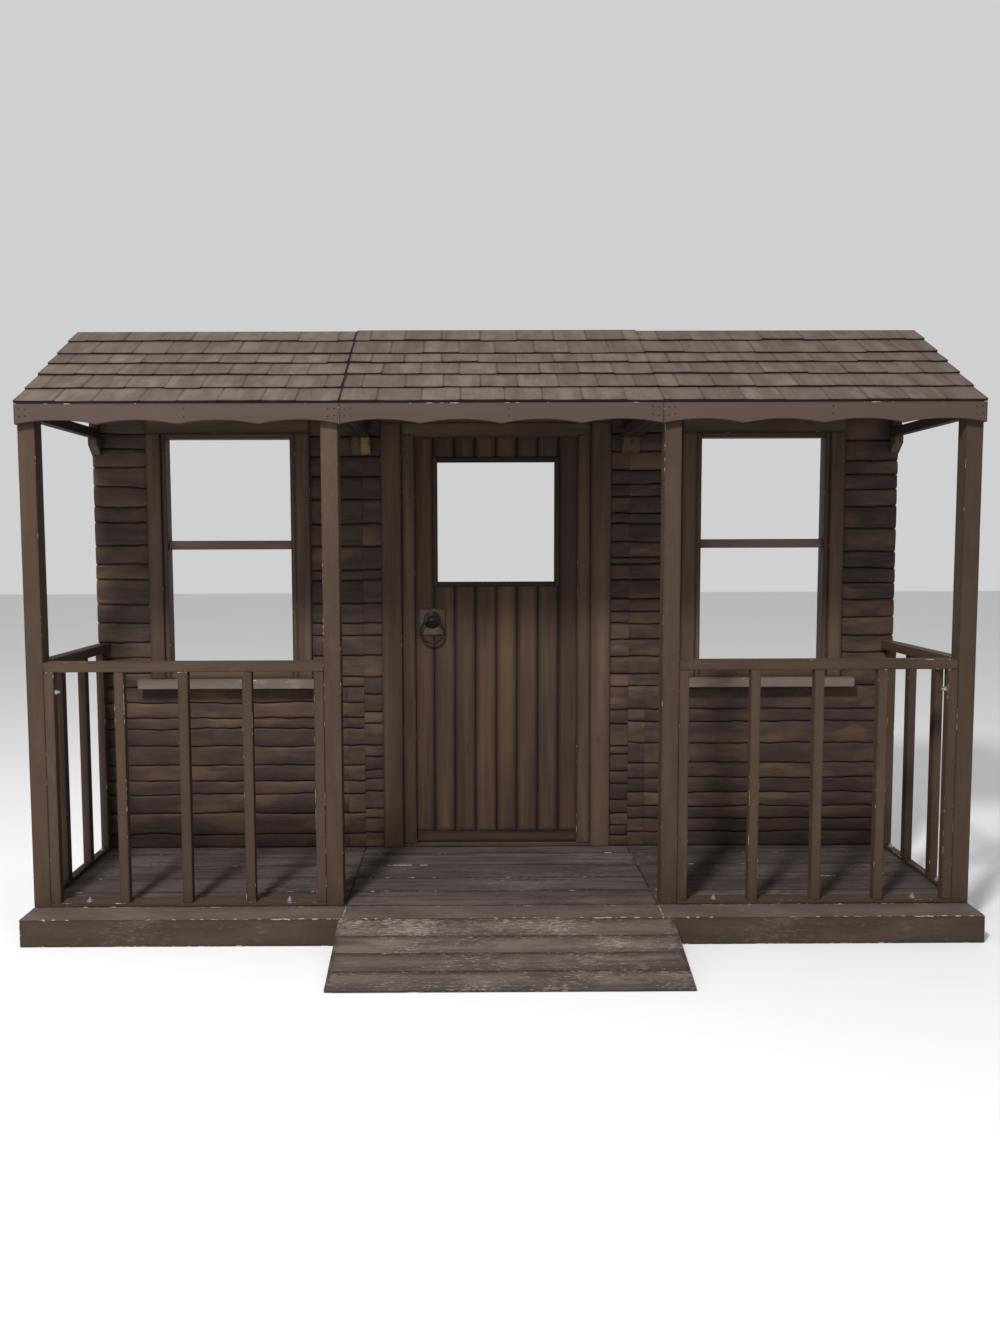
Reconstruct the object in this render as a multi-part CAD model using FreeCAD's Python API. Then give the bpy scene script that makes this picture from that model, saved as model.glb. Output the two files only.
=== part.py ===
import FreeCAD, Part
import math
import os

from FreeCAD import Vector

# Full-size timber log-cabin porch front, built as three bolted modules (left, centre, right).
# Millimetres. X runs left to right, Y runs from the front to the back, Z is up.
# Layout frame: X = 0 on the door's centre line, Y = 0 on the nominal face of the log cladding,
# Z = 0 on the ground. The finished parts are shifted so the origin is the centre of the footprint.

# ---- overall plan ----
MODULE_W = 1317.0            # width of one module; three make the full front
HALF_W = 1.5 * MODULE_W
SEAM_X = 0.5 * MODULE_W      # seam between the centre and a side module
DECK_FRONT = -993.0          # front edge of the deck
WALL_BACK = 66.0             # back of the wall flats and of the deck

# ---- base and deck ----
BASE_H = 94.0                # height of the joists
DECK_T = 22.0                # deck board thickness
DECK_Z = BASE_H + DECK_T
JOIST_T = 45.0
JOIST_BAYS = 4               # bays under each module's deck
NOSING_W = 147.0             # first deck board, at the front edge
DECK_BOARDS = 5              # boards behind the nosing
BOARD_GAP = 3.0
DECK_EDGE = 1.5              # eased edge of a deck board

# ---- ramp ----
RAMP_W = 1368.0
RAMP_SHIFT = 12.0            # the loose ramp stands slightly off centre
RAMP_RUN = 439.0
RAMP_GAP = 2.0               # clearance between the ramp and the deck edge
RAMP_DROP = 2.0              # the ramp's top edge is this far below the deck
RAMP_LIP = 12.0              # thickness left at the toe
RAMP_BOARD_T = 18.0
RAMP_BOARDS = 4
STRINGER_T = 38.0
STRINGER_SETBACK = 3.0

# ---- wall flats ----
WALL_H = 2438.0              # eight-foot flats standing on the deck
STUD_W = 45.0
PLY_FRONT = 11.0             # front of the backing sheet
PLY_BACK = 20.0              # back of the sheet, front of the studs
LOG_FACE = -9.0              # front of the log-look boards
LOG_PITCH = 93.0             # average height of one cladding board
LOG_BEVEL = 7.0
LOG_GAP = 1.5                # half of the gap between two boards
LOG_WAVE = 7.0               # how far the hand-cut edges wander
WALL_CLEAR = 3.0             # clearance between the log face and what stands against it
EDGE_BREAK = 3.0             # eased edge of rails, posts and casings
FINE_EDGE = 2.0              # eased edge of balusters and the leaf's foot rail

# ---- windows ----
WINDOW_INSET = 3.0           # each window's centre line is this far inside its module's middle
WINDOW_W = 606.0             # clear opening
WINDOW_SILL_Z = 1045.0
WINDOW_H = 1112.0            # clear height above the sill
LINING_T = 25.0
LINING_FRONT = -12.0
WINDOW_RAIL_H = 70.0         # bottom rail of the window frame
BAR_RISE = 571.0             # underside of the glazing bar above the sill
BAR_H = 44.0
BAR_FRONT = 10.0
BAR_D = 35.0
TRIM_W = 72.0
TRIM_FRONT = -22.0
HEAD_TRIM_H = 80.0
TRIM_EDGE = 2.5
SILL_T = 45.0
SILL_HORN = 52.0             # the sill board runs past the trim by this much
SILL_FRONT = -70.0

# ---- door ----
LEAF_W = 826.0
LEAF_H = 2040.0
LEAF_GAP = 3.0               # running clearance round the leaf
LEAF_FRONT = 16.0
LEAF_BOARD_T = 22.0
LEDGE_T = 21.0
LEAF_BOARDS = 8
LEAF_BEVEL = 6.0
THRESHOLD_H = 14.0
THRESHOLD_EDGE = 4.0
JAMB_W = 51.0
HEAD_H = 57.0
STOP_W = 14.0                # planted stop in front of the leaf
STOP_T = 14.0
CASING_W = 100.0
CASING_FRONT = -16.0
DOOR_RAIL_H = 57.0           # flat rail across the foot of the leaf
LIGHT_W = 580.0              # unglazed light in the door
LIGHT_H = 590.0
LIGHT_DROP = 131.0           # top of the light below the top of the leaf
BEAD_W = 23.0
BEAD_PROUD = 10.0
LEDGE_H = 100.0

# ---- door hinges ----
HINGE_GAP = 0.3
KNUCKLE_R = 6.0
PIN_R = 3.0
HINGE_PLATE_T = 2.5
KNUCKLE_H = 26.0
STRAP_L = 300.0
STRAP_H = 34.0
PLATE_W = 24.0

# ---- ring handle ----
HANDLE_X = -319.0
HANDLE_DROP = 188.0          # the ring hangs from this far below the foot of the light
HANDLE_PAD = 136.0           # square timber pad behind the iron boss
HANDLE_PAD_T = 8.0
PAD_BEVEL = 4.0
PAD_DROP = 10.0              # the pad is centred this far below the ring's axis
DOME_R = 44.0
DOME_TOP = 0.55              # size of the dome's flat front, as a share of its base
DOME_H = 11.0
LUG_W = 20.0
LUG_R = 14.0
RING_R = 57.0
RING_TUBE = 6.5
EYE_CLEARANCE = 1.6          # round the ring inside its eye
RING_STANDOFF = 28.0

# ---- posts and railings ----
POST = 72.0
POST_TOP = 2158.0
INNER_POST_INSET = 10.0      # inner post stands back from the module seam by this much
RAIL_TOP = 1155.0
RAIL_H = 42.0
RAIL_D = 62.0
BALUSTER_W = 42.0
BALUSTER_D = 38.0
BOTTOM_RAIL_H = 16.0         # flat board under the balusters
BALUSTER_PITCH = 266.0
BALUSTER_SHIFT = 4.0         # middle baluster is this far outside the middle of its panel
SIDE_PITCH = 270.0           # between the two balusters of each end panel
SIDE_SHIFT = 12.0            # they stand this far in front of the middle of the panel

# ---- roof ----
TIE_H = 43.0
TIE_W = 45.0
FASCIA_T = 27.0
FASCIA_H = 82.0
FASCIA_RISE = 18.0           # height of each scallop
SCALLOPS = 4
EAVES_OVERHANG = 5.0         # shingle butts in front of the fascia
EAVES_GAP = 1.0              # between the lowest shingle and the top of the fascia
EAVES_RISE = 66.0            # shingle butts above the top of the posts
ROOF_PITCH = 30.6            # degrees
ROOF_L = 840.0               # length up the slope
RIDGE_LAP = 14.0             # the centre module's shingles run this far past the others
COURSES = (0.0, 138.0, 284.0, 420.0, 536.0, 696.0)   # foot of each course up the slope
SHINGLES_PER_COURSE = 8
SHINGLE_T = 11.0
UNDERLAY_T = 3.0
SHINGLE_GAP = 2.5
SHINGLE_STAGGER = 5.0
SHEATHING_T = 12.0
RAFTER_H = 70.0
LEG_D = 37.0
CORBEL_D = 67.0
CORBEL_H = 82.0
CORBEL_NOSE = 34.0

# ---- bolts ----
BOLT_FLATS = 17.0
BOLT_HEAD = 7.0
WASHER_R = 12.0
WASHER_T = 2.0
BOLT_STUB = 9.0              # thread standing above the nut
BOLT_R = 5.0
SIDE_BOLT_FRONT = 176.0      # bolts through an end panel's bottom board, from the post
SIDE_BOLT_BACK = 81.0        # and from the wall
TIE_BOLT_FRONT = 146.0       # bolts through two ties, from their front end
TIE_BOLT_BACK = 138.0        # and from the wall
STILE_BOLT_DROP = 127.0      # below the top of the rail

# ---- derived sizes ----
WALL_TOP = DECK_Z + WALL_H
WALL_FACE = LOG_FACE - WALL_CLEAR
RAMP_TOP = DECK_Z - RAMP_DROP
LEAF_BOTTOM = DECK_Z + THRESHOLD_H + LEAF_GAP
LEAF_TOP = LEAF_BOTTOM + LEAF_H
LEAF_BACK = LEAF_FRONT + LEAF_BOARD_T + LEDGE_T
LIGHT_TOP = LEAF_TOP - LIGHT_DROP
LIGHT_BOTTOM = LIGHT_TOP - LIGHT_H
HANDLE_Z = LIGHT_BOTTOM - HANDLE_DROP
JAMB_IN = LEAF_W / 2 + LEAF_GAP
JAMB_OUT = JAMB_IN + JAMB_W
HEAD_Z = LEAF_TOP + LEAF_GAP
CASING_OUT = JAMB_OUT + CASING_W
PIN_X = JAMB_IN - LEAF_GAP / 2
PIN_Y = LEAF_BACK + KNUCKLE_R + HINGE_GAP
RAMP_BACK = DECK_FRONT - RAMP_GAP
RAMP_FRONT = RAMP_BACK - RAMP_RUN
WINDOW_X = MODULE_W - WINDOW_INSET
WINDOW_TOP = WINDOW_SILL_Z + WINDOW_H
BAR_Z = WINDOW_SILL_Z + BAR_RISE
TRIM_IN = WINDOW_W / 2 + LINING_T
TRIM_OUT = TRIM_IN + TRIM_W
SILL_HALF = TRIM_OUT + SILL_HORN
POST_FRONT = DECK_FRONT + NOSING_W
POST_BACK = POST_FRONT + POST
POST_OUT_X = HALF_W - POST                       # inner face of the outer post
POST_IN_X = SEAM_X + INNER_POST_INSET + POST     # outer face of the inner post
BALUSTER_MID = (POST_IN_X + POST_OUT_X) / 2 + BALUSTER_SHIFT
SIDE_MID = (POST_BACK + WALL_FACE) / 2 - SIDE_SHIFT
TIE_TOP = POST_TOP + TIE_H
ROOF_FRONT = POST_FRONT - FASCIA_T - EAVES_OVERHANG
ROOF_FRONT_Z = POST_TOP + EAVES_RISE
SLOPE = math.radians(ROOF_PITCH)
FASCIA_TOP = ROOF_FRONT_Z - (SHINGLE_T + UNDERLAY_T) * math.cos(SLOPE) - EAVES_GAP
FASCIA_LOW = FASCIA_TOP - FASCIA_H
SHIFT = Vector(0, -(WALL_BACK + RAMP_FRONT) / 2, 0)


# ---- helpers ----
def box(x0, x1, y0, y1, z0, z1):
    return Part.makeBox(x1 - x0, y1 - y0, z1 - z0, Vector(x0, y0, z0))


def prism_x(points, x0, x1):
    """Solid with the closed (y, z) outline, running from x0 to x1."""
    loop = [Vector(x0, y, z) for y, z in points]
    face = Part.Face(Part.makePolygon(loop + loop[:1]))
    return face.extrude(Vector(x1 - x0, 0, 0))


def pair(shape):
    """The shape and its mirror image across X = 0, as two separate solids."""
    return [shape, shape.mirror(Vector(0, 0, 0), Vector(1, 0, 0))]


def fuse(shapes):
    return shapes[0].multiFuse(shapes[1:]).removeSplitter()


def chamfer_long(shape, size, axis):
    """Small chamfer along every edge parallel to the given axis."""
    edges = []
    for edge in shape.Edges:
        run = edge.Vertexes[-1].Point - edge.Vertexes[0].Point
        if abs(run.dot(axis)) > 0.999 * run.Length > 0:
            edges.append(edge)
    return shape.makeChamfer(size, edges)


def save(name, shapes):
    solids = shapes if isinstance(shapes, list) else [shapes]
    shape = solids[0] if len(solids) == 1 else Part.makeCompound(solids)
    shape.translate(SHIFT)
    shape.exportStep("parts/" + name + ".step")


def modules():
    """Name and X range of each module."""
    return [("left", -HALF_W, -SEAM_X), ("centre", -SEAM_X, SEAM_X), ("right", SEAM_X, HALF_W)]


# ---- base, deck and ramp ----
def base_frame(x0, x1):
    """Joists on edge, closed by a front and a back board."""
    solids = [box(x0, x1, DECK_FRONT, DECK_FRONT + JOIST_T, 0, BASE_H),
              box(x0, x1, WALL_BACK - JOIST_T, WALL_BACK, 0, BASE_H)]
    step = (x1 - x0 - JOIST_T) / JOIST_BAYS
    for i in range(JOIST_BAYS + 1):
        x = x0 + i * step
        solids.append(box(x, x + JOIST_T, DECK_FRONT + JOIST_T, WALL_BACK - JOIST_T, 0, BASE_H))
    return solids


def deck_boards(x0, x1):
    """Boards running left to right, the nosing board first."""
    first = DECK_FRONT + NOSING_W
    width = (WALL_BACK - first) / DECK_BOARDS
    edges = [DECK_FRONT, first] + [first + width * (i + 1) for i in range(DECK_BOARDS)]
    boards = []
    for i, (y0, y1) in enumerate(zip(edges[:-1], edges[1:])):
        back = y1 if i == DECK_BOARDS else y1 - BOARD_GAP
        board = box(x0 + 1, x1 - 1, y0, back, BASE_H, DECK_Z)
        boards.append(chamfer_long(board, DECK_EDGE, Vector(1, 0, 0)))
    return boards


def ramp_skin_z(y, drop):
    """Height of the ramp's surface at y, less a vertical drop."""
    return RAMP_LIP + (RAMP_TOP - RAMP_LIP) * (y - RAMP_FRONT) / RAMP_RUN - drop


def ramp_boards():
    rise = (RAMP_TOP - RAMP_LIP) / RAMP_RUN
    drop = RAMP_BOARD_T * math.hypot(1, rise)
    toe = RAMP_FRONT + (drop - RAMP_LIP) / rise
    x0, x1 = RAMP_SHIFT - RAMP_W / 2, RAMP_SHIFT + RAMP_W / 2
    skin = prism_x([(RAMP_BACK, RAMP_TOP), (RAMP_FRONT, RAMP_LIP), (RAMP_FRONT, 0),
                    (toe, 0), (RAMP_BACK, RAMP_TOP - drop)], x0, x1)
    step = RAMP_RUN / RAMP_BOARDS
    boards = []
    for i in range(RAMP_BOARDS):
        y0 = RAMP_FRONT + i * step
        y1 = y0 + step - (0 if i == RAMP_BOARDS - 1 else BOARD_GAP)
        boards.append(skin.common(box(x0 - 1, x1 + 1, y0, y1, -1, RAMP_TOP + 1)))
    return boards


def ramp_stringers():
    """Wedges under the ramp boards, at both ends and in the middle."""
    rise = (RAMP_TOP - RAMP_LIP) / RAMP_RUN
    drop = RAMP_BOARD_T * math.hypot(1, rise)
    toe = RAMP_FRONT + (drop - RAMP_LIP) / rise
    back = RAMP_BACK - STRINGER_SETBACK
    outline = [(back, 0), (back, ramp_skin_z(back, drop)), (toe, 0)]
    reach = RAMP_W / 2 - STRINGER_SETBACK
    starts = (RAMP_SHIFT - reach, RAMP_SHIFT - STRINGER_T / 2, RAMP_SHIFT + reach - STRINGER_T)
    return [prism_x(outline, x, x + STRINGER_T) for x in starts]


# ---- wall flats ----
def stud(x0, x1, z0, z1):
    return box(x0, x1, PLY_BACK, WALL_BACK, z0, z1)


def window_wall_frame(x0, x1, cx):
    """Studs and rails of a side module, leaving the window clear."""
    foot, top = DECK_Z + STUD_W, WALL_TOP - STUD_W
    low, high = WINDOW_SILL_Z - WINDOW_RAIL_H, WINDOW_TOP + LINING_T
    return [stud(x0, x1, DECK_Z, foot), stud(x0, x1, top, WALL_TOP),
            stud(x0, x0 + STUD_W, foot, top), stud(x1 - STUD_W, x1, foot, top),
            stud(cx - TRIM_IN - STUD_W, cx - TRIM_IN, foot, top),
            stud(cx + TRIM_IN, cx + TRIM_IN + STUD_W, foot, top),
            stud(cx - TRIM_IN, cx + TRIM_IN, low - STUD_W, low),
            stud(cx - TRIM_IN, cx + TRIM_IN, high, high + STUD_W),
            stud(cx - STUD_W / 2, cx + STUD_W / 2, foot, low - STUD_W),
            stud(cx - STUD_W / 2, cx + STUD_W / 2, high + STUD_W, top)]


def door_wall_frame():
    """Studs and rails of the centre module, leaving the doorway clear."""
    foot, top = DECK_Z + STUD_W, WALL_TOP - STUD_W
    lintel = HEAD_Z + HEAD_H
    sides = []
    for part in (stud(SEAM_X - STUD_W, SEAM_X, foot, top), stud(JAMB_OUT, JAMB_OUT + STUD_W, foot, top),
                 stud(JAMB_OUT, SEAM_X, DECK_Z, foot)):
        sides += pair(part)
    return sides + [stud(-SEAM_X, SEAM_X, top, WALL_TOP),
                    stud(-JAMB_OUT, JAMB_OUT, lintel, lintel + STUD_W),
                    stud(-STUD_W / 2, STUD_W / 2, lintel + STUD_W, top)]


def wavy_edge(x0, x1, y, z, phase, amount):
    """Hand-cut edge of a board: a smooth curve from x0 to x1 near height z."""
    count = max(3, int((x1 - x0) / 105) + 1)
    points = []
    for i in range(count + 1):
        x = x0 + (x1 - x0) * i / count
        wave = 0.62 * math.sin(x / 71.0 + phase * 2.3) + 0.38 * math.sin(x / 29.0 + phase * 5.1)
        points.append(Vector(x, y, z + amount * wave))
    curve = Part.BSplineCurve()
    curve.interpolate(points)
    return curve.toShape()


def board_wire(x0, x1, y, low, high, inset):
    """Closed outline of one board at depth y. low and high are (height, phase, wave)."""
    a = wavy_edge(x0 + inset, x1 - inset, y, low[0] + inset, low[1], low[2])
    b = wavy_edge(x0 + inset, x1 - inset, y, high[0] - inset, high[1], high[2])
    a0, a1 = a.Vertexes[0].Point, a.Vertexes[-1].Point
    b0, b1 = b.Vertexes[0].Point, b.Vertexes[-1].Point
    return Part.Wire([a, Part.makeLine(a1, b1), b, Part.makeLine(b0, a0)])


def log_board(x0, x1, low, high, proud):
    back = board_wire(x0, x1, PLY_FRONT + 1, low, high, LOG_GAP)
    front = board_wire(x0, x1, LOG_FACE - proud, low, high, LOG_GAP + LOG_BEVEL)
    return Part.makeLoft([back, front], True, True)


def log_panel(x0, x1, z0, z1, phase):
    """Backing sheet faced with uneven bevelled boards, as one solid."""
    count = max(1, int(round((z1 - z0) / LOG_PITCH)))
    pitch = (z1 - z0) / count
    edges = []
    for i in range(count + 1):
        level = z0 + i * pitch
        if 0 < i < count:
            edges.append((level + 0.14 * pitch * math.sin(2.1 * i + phase), phase + i, LOG_WAVE))
        else:
            edges.append((level, 0.0, 0.0))
    parts = [box(x0, x1, PLY_FRONT, PLY_BACK, z0, z1)]
    for i in range(count):
        parts.append(log_board(x0, x1, edges[i], edges[i + 1], 2.5 * math.sin(1.7 * i + phase)))
    return fuse(parts)


def window_cladding(x0, x1, cx, phase):
    """Cladding of a side module: below, beside and above the window."""
    low = WINDOW_SILL_Z - WINDOW_RAIL_H
    head = WINDOW_TOP + LINING_T + HEAD_TRIM_H
    return [log_panel(x0, x1, DECK_Z, low - SILL_T, phase),
            log_panel(x0, cx - TRIM_OUT, low - SILL_T, head, phase + 3.1),
            log_panel(cx + TRIM_OUT, x1, low - SILL_T, head, phase + 5.7),
            log_panel(x0, x1, head, WALL_TOP, phase + 8.2)]


def door_cladding():
    head = HEAD_Z + HEAD_H + CASING_W
    return [log_panel(-SEAM_X, -CASING_OUT, DECK_Z, head, 1.3),
            log_panel(CASING_OUT, SEAM_X, DECK_Z, head, 4.4),
            log_panel(-SEAM_X, SEAM_X, head, WALL_TOP, 6.9)]


# ---- windows ----
def window_lining(cx):
    half = WINDOW_W / 2
    low = WINDOW_SILL_Z - WINDOW_RAIL_H
    head = WINDOW_TOP + LINING_T
    return [box(cx - half - LINING_T, cx - half, LINING_FRONT, WALL_BACK, low, head),
            box(cx + half, cx + half + LINING_T, LINING_FRONT, WALL_BACK, low, head),
            box(cx - half, cx + half, LINING_FRONT, WALL_BACK, WINDOW_TOP, head),
            box(cx - half, cx + half, LINING_FRONT, WALL_BACK, low, WINDOW_SILL_Z)]


def window_bar(cx):
    bar = box(cx - WINDOW_W / 2, cx + WINDOW_W / 2, BAR_FRONT, BAR_FRONT + BAR_D, BAR_Z, BAR_Z + BAR_H)
    return chamfer_long(bar, EDGE_BREAK, Vector(1, 0, 0))


def window_trim(cx):
    """Two upright boards and a head board round the window."""
    low, head = WINDOW_SILL_Z - WINDOW_RAIL_H, WINDOW_TOP + LINING_T
    upright = box(TRIM_IN, TRIM_OUT, TRIM_FRONT, PLY_FRONT, low, head)
    upright = chamfer_long(upright, TRIM_EDGE, Vector(0, 0, 1))
    top = box(-TRIM_OUT, TRIM_OUT, TRIM_FRONT, PLY_FRONT, head, head + HEAD_TRIM_H)
    solids = pair(upright) + [chamfer_long(top, TRIM_EDGE, Vector(1, 0, 0))]
    for solid in solids:
        solid.translate(Vector(cx, 0, 0))
    return solids


def window_sill(cx):
    top = WINDOW_SILL_Z - WINDOW_RAIL_H
    sill = box(cx - SILL_HALF, cx + SILL_HALF, SILL_FRONT, WALL_FACE, top - SILL_T, top)
    tongue = box(cx - TRIM_OUT, cx + TRIM_OUT, WALL_FACE - 1, PLY_FRONT, top - SILL_T, top)
    return fuse([chamfer_long(sill, EDGE_BREAK, Vector(1, 0, 0)), tongue])


# ---- door ----
def door_frame():
    """Jambs and head with planted stops in front of the leaf."""
    jamb = box(JAMB_IN, JAMB_OUT, 0, LEAF_BACK, DECK_Z + THRESHOLD_H, HEAD_Z)
    stop = box(JAMB_IN - STOP_W, JAMB_IN + 1, 0, STOP_T, DECK_Z + THRESHOLD_H, HEAD_Z)
    head = box(-JAMB_OUT, JAMB_OUT, 0, LEAF_BACK, HEAD_Z, HEAD_Z + HEAD_H)
    head_stop = box(STOP_W - JAMB_IN, JAMB_IN - STOP_W, 0, STOP_T, HEAD_Z - STOP_W, HEAD_Z + 1)
    return pair(fuse([jamb, stop])) + [fuse([head, head_stop])]


def door_threshold():
    sill = box(-JAMB_OUT, JAMB_OUT, LOG_FACE, LEAF_BACK, DECK_Z, DECK_Z + THRESHOLD_H)
    return chamfer_long(sill, THRESHOLD_EDGE, Vector(1, 0, 0))


def door_casing():
    top = HEAD_Z + HEAD_H
    side = box(JAMB_OUT, CASING_OUT, CASING_FRONT, PLY_BACK, DECK_Z, top)
    head = box(-CASING_OUT, CASING_OUT, CASING_FRONT, PLY_BACK, top, top + CASING_W)
    head = chamfer_long(head, EDGE_BREAK, Vector(1, 0, 0))
    return pair(chamfer_long(side, EDGE_BREAK, Vector(0, 0, 1))) + [head]


def door_boards():
    """Vertical boards with bevelled edges, cut away for the light."""
    pitch = LEAF_W / LEAF_BOARDS
    low = LEAF_BOTTOM + DOOR_RAIL_H
    light = box(-LIGHT_W / 2, LIGHT_W / 2, LEAF_FRONT - 1, LEAF_BACK, LIGHT_BOTTOM, LIGHT_TOP)
    boards = []
    for i in range(LEAF_BOARDS):
        x = -LEAF_W / 2 + i * pitch
        board = box(x, x + pitch, LEAF_FRONT, LEAF_FRONT + LEAF_BOARD_T, low, LEAF_TOP)
        bevels = [e for e in board.Edges
                  if e.BoundBox.XLength < 0.1 and e.BoundBox.YMax < LEAF_FRONT + 0.1]
        boards.append(board.makeChamfer(LEAF_BEVEL, bevels))
    return fuse(boards).cut(light)


def door_bottom_rail():
    rail = box(-LEAF_W / 2, LEAF_W / 2, LEAF_FRONT, LEAF_FRONT + LEAF_BOARD_T, LEAF_BOTTOM,
               LEAF_BOTTOM + DOOR_RAIL_H)
    return chamfer_long(rail, FINE_EDGE, Vector(1, 0, 0))


def ledge_levels():
    """Underside of each of the leaf's three ledges."""
    return (LEAF_BOTTOM + LEDGE_H, LIGHT_BOTTOM - LEDGE_H, LIGHT_TOP)


def door_ledges():
    """Three ledges on the back of the leaf, and the two uprights beside the light."""
    y0, y1 = LEAF_FRONT + LEAF_BOARD_T, LEAF_BACK
    half, edge = LIGHT_W / 2, LEAF_W / 2
    solids = [box(-edge, edge, y0, y1, z, z + LEDGE_H) for z in ledge_levels()]
    return solids + pair(box(half, edge, y0, y1, LIGHT_BOTTOM, LIGHT_TOP))


def door_window_bead():
    """Square bead frame planted round the light, on the front of the leaf."""
    half, z0, z1 = LIGHT_W / 2, LIGHT_BOTTOM, LIGHT_TOP
    y0, y1 = LEAF_FRONT - BEAD_PROUD, LEAF_FRONT
    side = box(half, half + BEAD_W, y0, y1, z0 - BEAD_W, z1 + BEAD_W)
    rails = [box(-half, half, y0, y1, z1, z1 + BEAD_W), box(-half, half, y0, y1, z0 - BEAD_W, z0)]
    rails = [chamfer_long(rail, EDGE_BREAK, Vector(1, 0, 0)) for rail in rails]
    return pair(chamfer_long(side, EDGE_BREAK, Vector(0, 0, 1))) + rails


def cylinder_z(radius, z0, z1):
    return Part.makeCylinder(radius, z1 - z0, Vector(PIN_X, PIN_Y, z0))


def hinge_strap(z):
    """Moving leaf of one tee hinge: a long strap on the ledge with the middle knuckle."""
    half = KNUCKLE_H / 2
    strap = box(PIN_X - STRAP_L, PIN_X - KNUCKLE_R, LEAF_BACK, LEAF_BACK + HINGE_PLATE_T,
                z - STRAP_H / 2, z + STRAP_H / 2)
    neck = box(PIN_X - KNUCKLE_R - 1, PIN_X, LEAF_BACK + HINGE_GAP, LEAF_BACK + HINGE_PLATE_T,
               z - half, z + half)
    return fuse([strap, neck, cylinder_z(KNUCKLE_R, z - half, z + half)]).cut(
        cylinder_z(PIN_R + HINGE_GAP, z - half - 1, z + half + 1))


def hinge_plate(z):
    """Fixed leaf of one tee hinge: a short plate on the jamb, two knuckles and the pin."""
    half, reach = KNUCKLE_H / 2 + HINGE_GAP, 1.5 * KNUCKLE_H
    x0 = PIN_X + KNUCKLE_R + 1
    parts = [box(x0, x0 + PLATE_W, LEAF_BACK, LEAF_BACK + HINGE_PLATE_T, z - reach, z + reach),
             cylinder_z(PIN_R, z - reach, z + reach)]
    for z0, z1 in ((z - reach, z - half), (z + half, z + reach)):
        parts.append(cylinder_z(KNUCKLE_R, z0, z1))
        parts.append(box(PIN_X + 1.5, x0 + 1, LEAF_BACK + HINGE_GAP, LEAF_BACK + HINGE_PLATE_T, z0, z1))
    return fuse(parts)


def handle_pad():
    """Square pad planted on the leaf behind the handle."""
    half, mid = HANDLE_PAD / 2, HANDLE_Z - PAD_DROP
    face = LEAF_FRONT - HANDLE_PAD_T
    pad = box(HANDLE_X - half, HANDLE_X + half, face, LEAF_FRONT, mid - half, mid + half)
    edges = [e for e in pad.Edges if e.BoundBox.YMax < face + 0.1]
    return pad.makeChamfer(PAD_BEVEL, edges)


def handle_boss():
    """Low iron dome with the eye that carries the ring."""
    face, eye_y = LEAF_FRONT - HANDLE_PAD_T, LEAF_FRONT - RING_STANDOFF
    x0, z = HANDLE_X - LUG_W / 2, HANDLE_Z
    dome = Part.makeCone(DOME_R, DOME_R * DOME_TOP, DOME_H, Vector(HANDLE_X, face, z), Vector(0, -1, 0))
    lug = box(x0, x0 + LUG_W, eye_y, face - 1, z - LUG_R, z + LUG_R)
    nose = Part.makeCylinder(LUG_R, LUG_W, Vector(x0, eye_y, z), Vector(1, 0, 0))
    eye = Part.makeCylinder(RING_TUBE + EYE_CLEARANCE, LUG_W + 2, Vector(x0 - 1, eye_y, z), Vector(1, 0, 0))
    return fuse([dome, lug, nose]).cut(eye)


def handle_ring():
    centre = Vector(HANDLE_X, LEAF_FRONT - RING_STANDOFF, HANDLE_Z - RING_R)
    return Part.makeTorus(RING_R, RING_TUBE, centre, Vector(0, 1, 0))


# ---- posts and railings ----
def post(x0):
    shaft = box(x0, x0 + POST, POST_FRONT, POST_BACK, DECK_Z, POST_TOP)
    return chamfer_long(shaft, EDGE_BREAK, Vector(0, 0, 1))


def front_rail():
    """Right-hand front panel: top rail, bottom rail and two end stiles."""
    near, far = POST_IN_X, POST_OUT_X
    top = box(near, far, POST_FRONT, POST_FRONT + RAIL_D, RAIL_TOP - RAIL_H, RAIL_TOP)
    foot = DECK_Z + BOTTOM_RAIL_H
    bottom = box(near, far, POST_FRONT, POST_BACK, DECK_Z, foot)
    stiles = [box(x, x + BALUSTER_W, POST_FRONT, POST_FRONT + BALUSTER_D, foot, RAIL_TOP - RAIL_H)
              for x in (near, far - BALUSTER_W)]
    return [chamfer_long(top, EDGE_BREAK, Vector(1, 0, 0)), bottom] + stiles


def front_balusters():
    solids = []
    for i in (-1, 0, 1):
        x = BALUSTER_MID + i * BALUSTER_PITCH
        baluster = box(x - BALUSTER_W / 2, x + BALUSTER_W / 2, POST_FRONT, POST_FRONT + BALUSTER_D,
                       DECK_Z + BOTTOM_RAIL_H, RAIL_TOP - RAIL_H)
        solids.append(chamfer_long(baluster, FINE_EDGE, Vector(0, 0, 1)))
    return solids


def side_rail():
    """Right-hand end panel, from the outer post back to the wall."""
    top = box(HALF_W - RAIL_D, HALF_W, POST_BACK, WALL_FACE, RAIL_TOP - RAIL_H, RAIL_TOP)
    x, foot = HALF_W - BALUSTER_D, DECK_Z + BOTTOM_RAIL_H
    bottom = box(x, HALF_W, POST_BACK, WALL_FACE, DECK_Z, foot)
    stiles = [box(x, HALF_W, y, y + BALUSTER_W, foot, RAIL_TOP - RAIL_H)
              for y in (POST_BACK, WALL_FACE - BALUSTER_W)]
    return [chamfer_long(top, EDGE_BREAK, Vector(0, 1, 0)), bottom] + stiles


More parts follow.
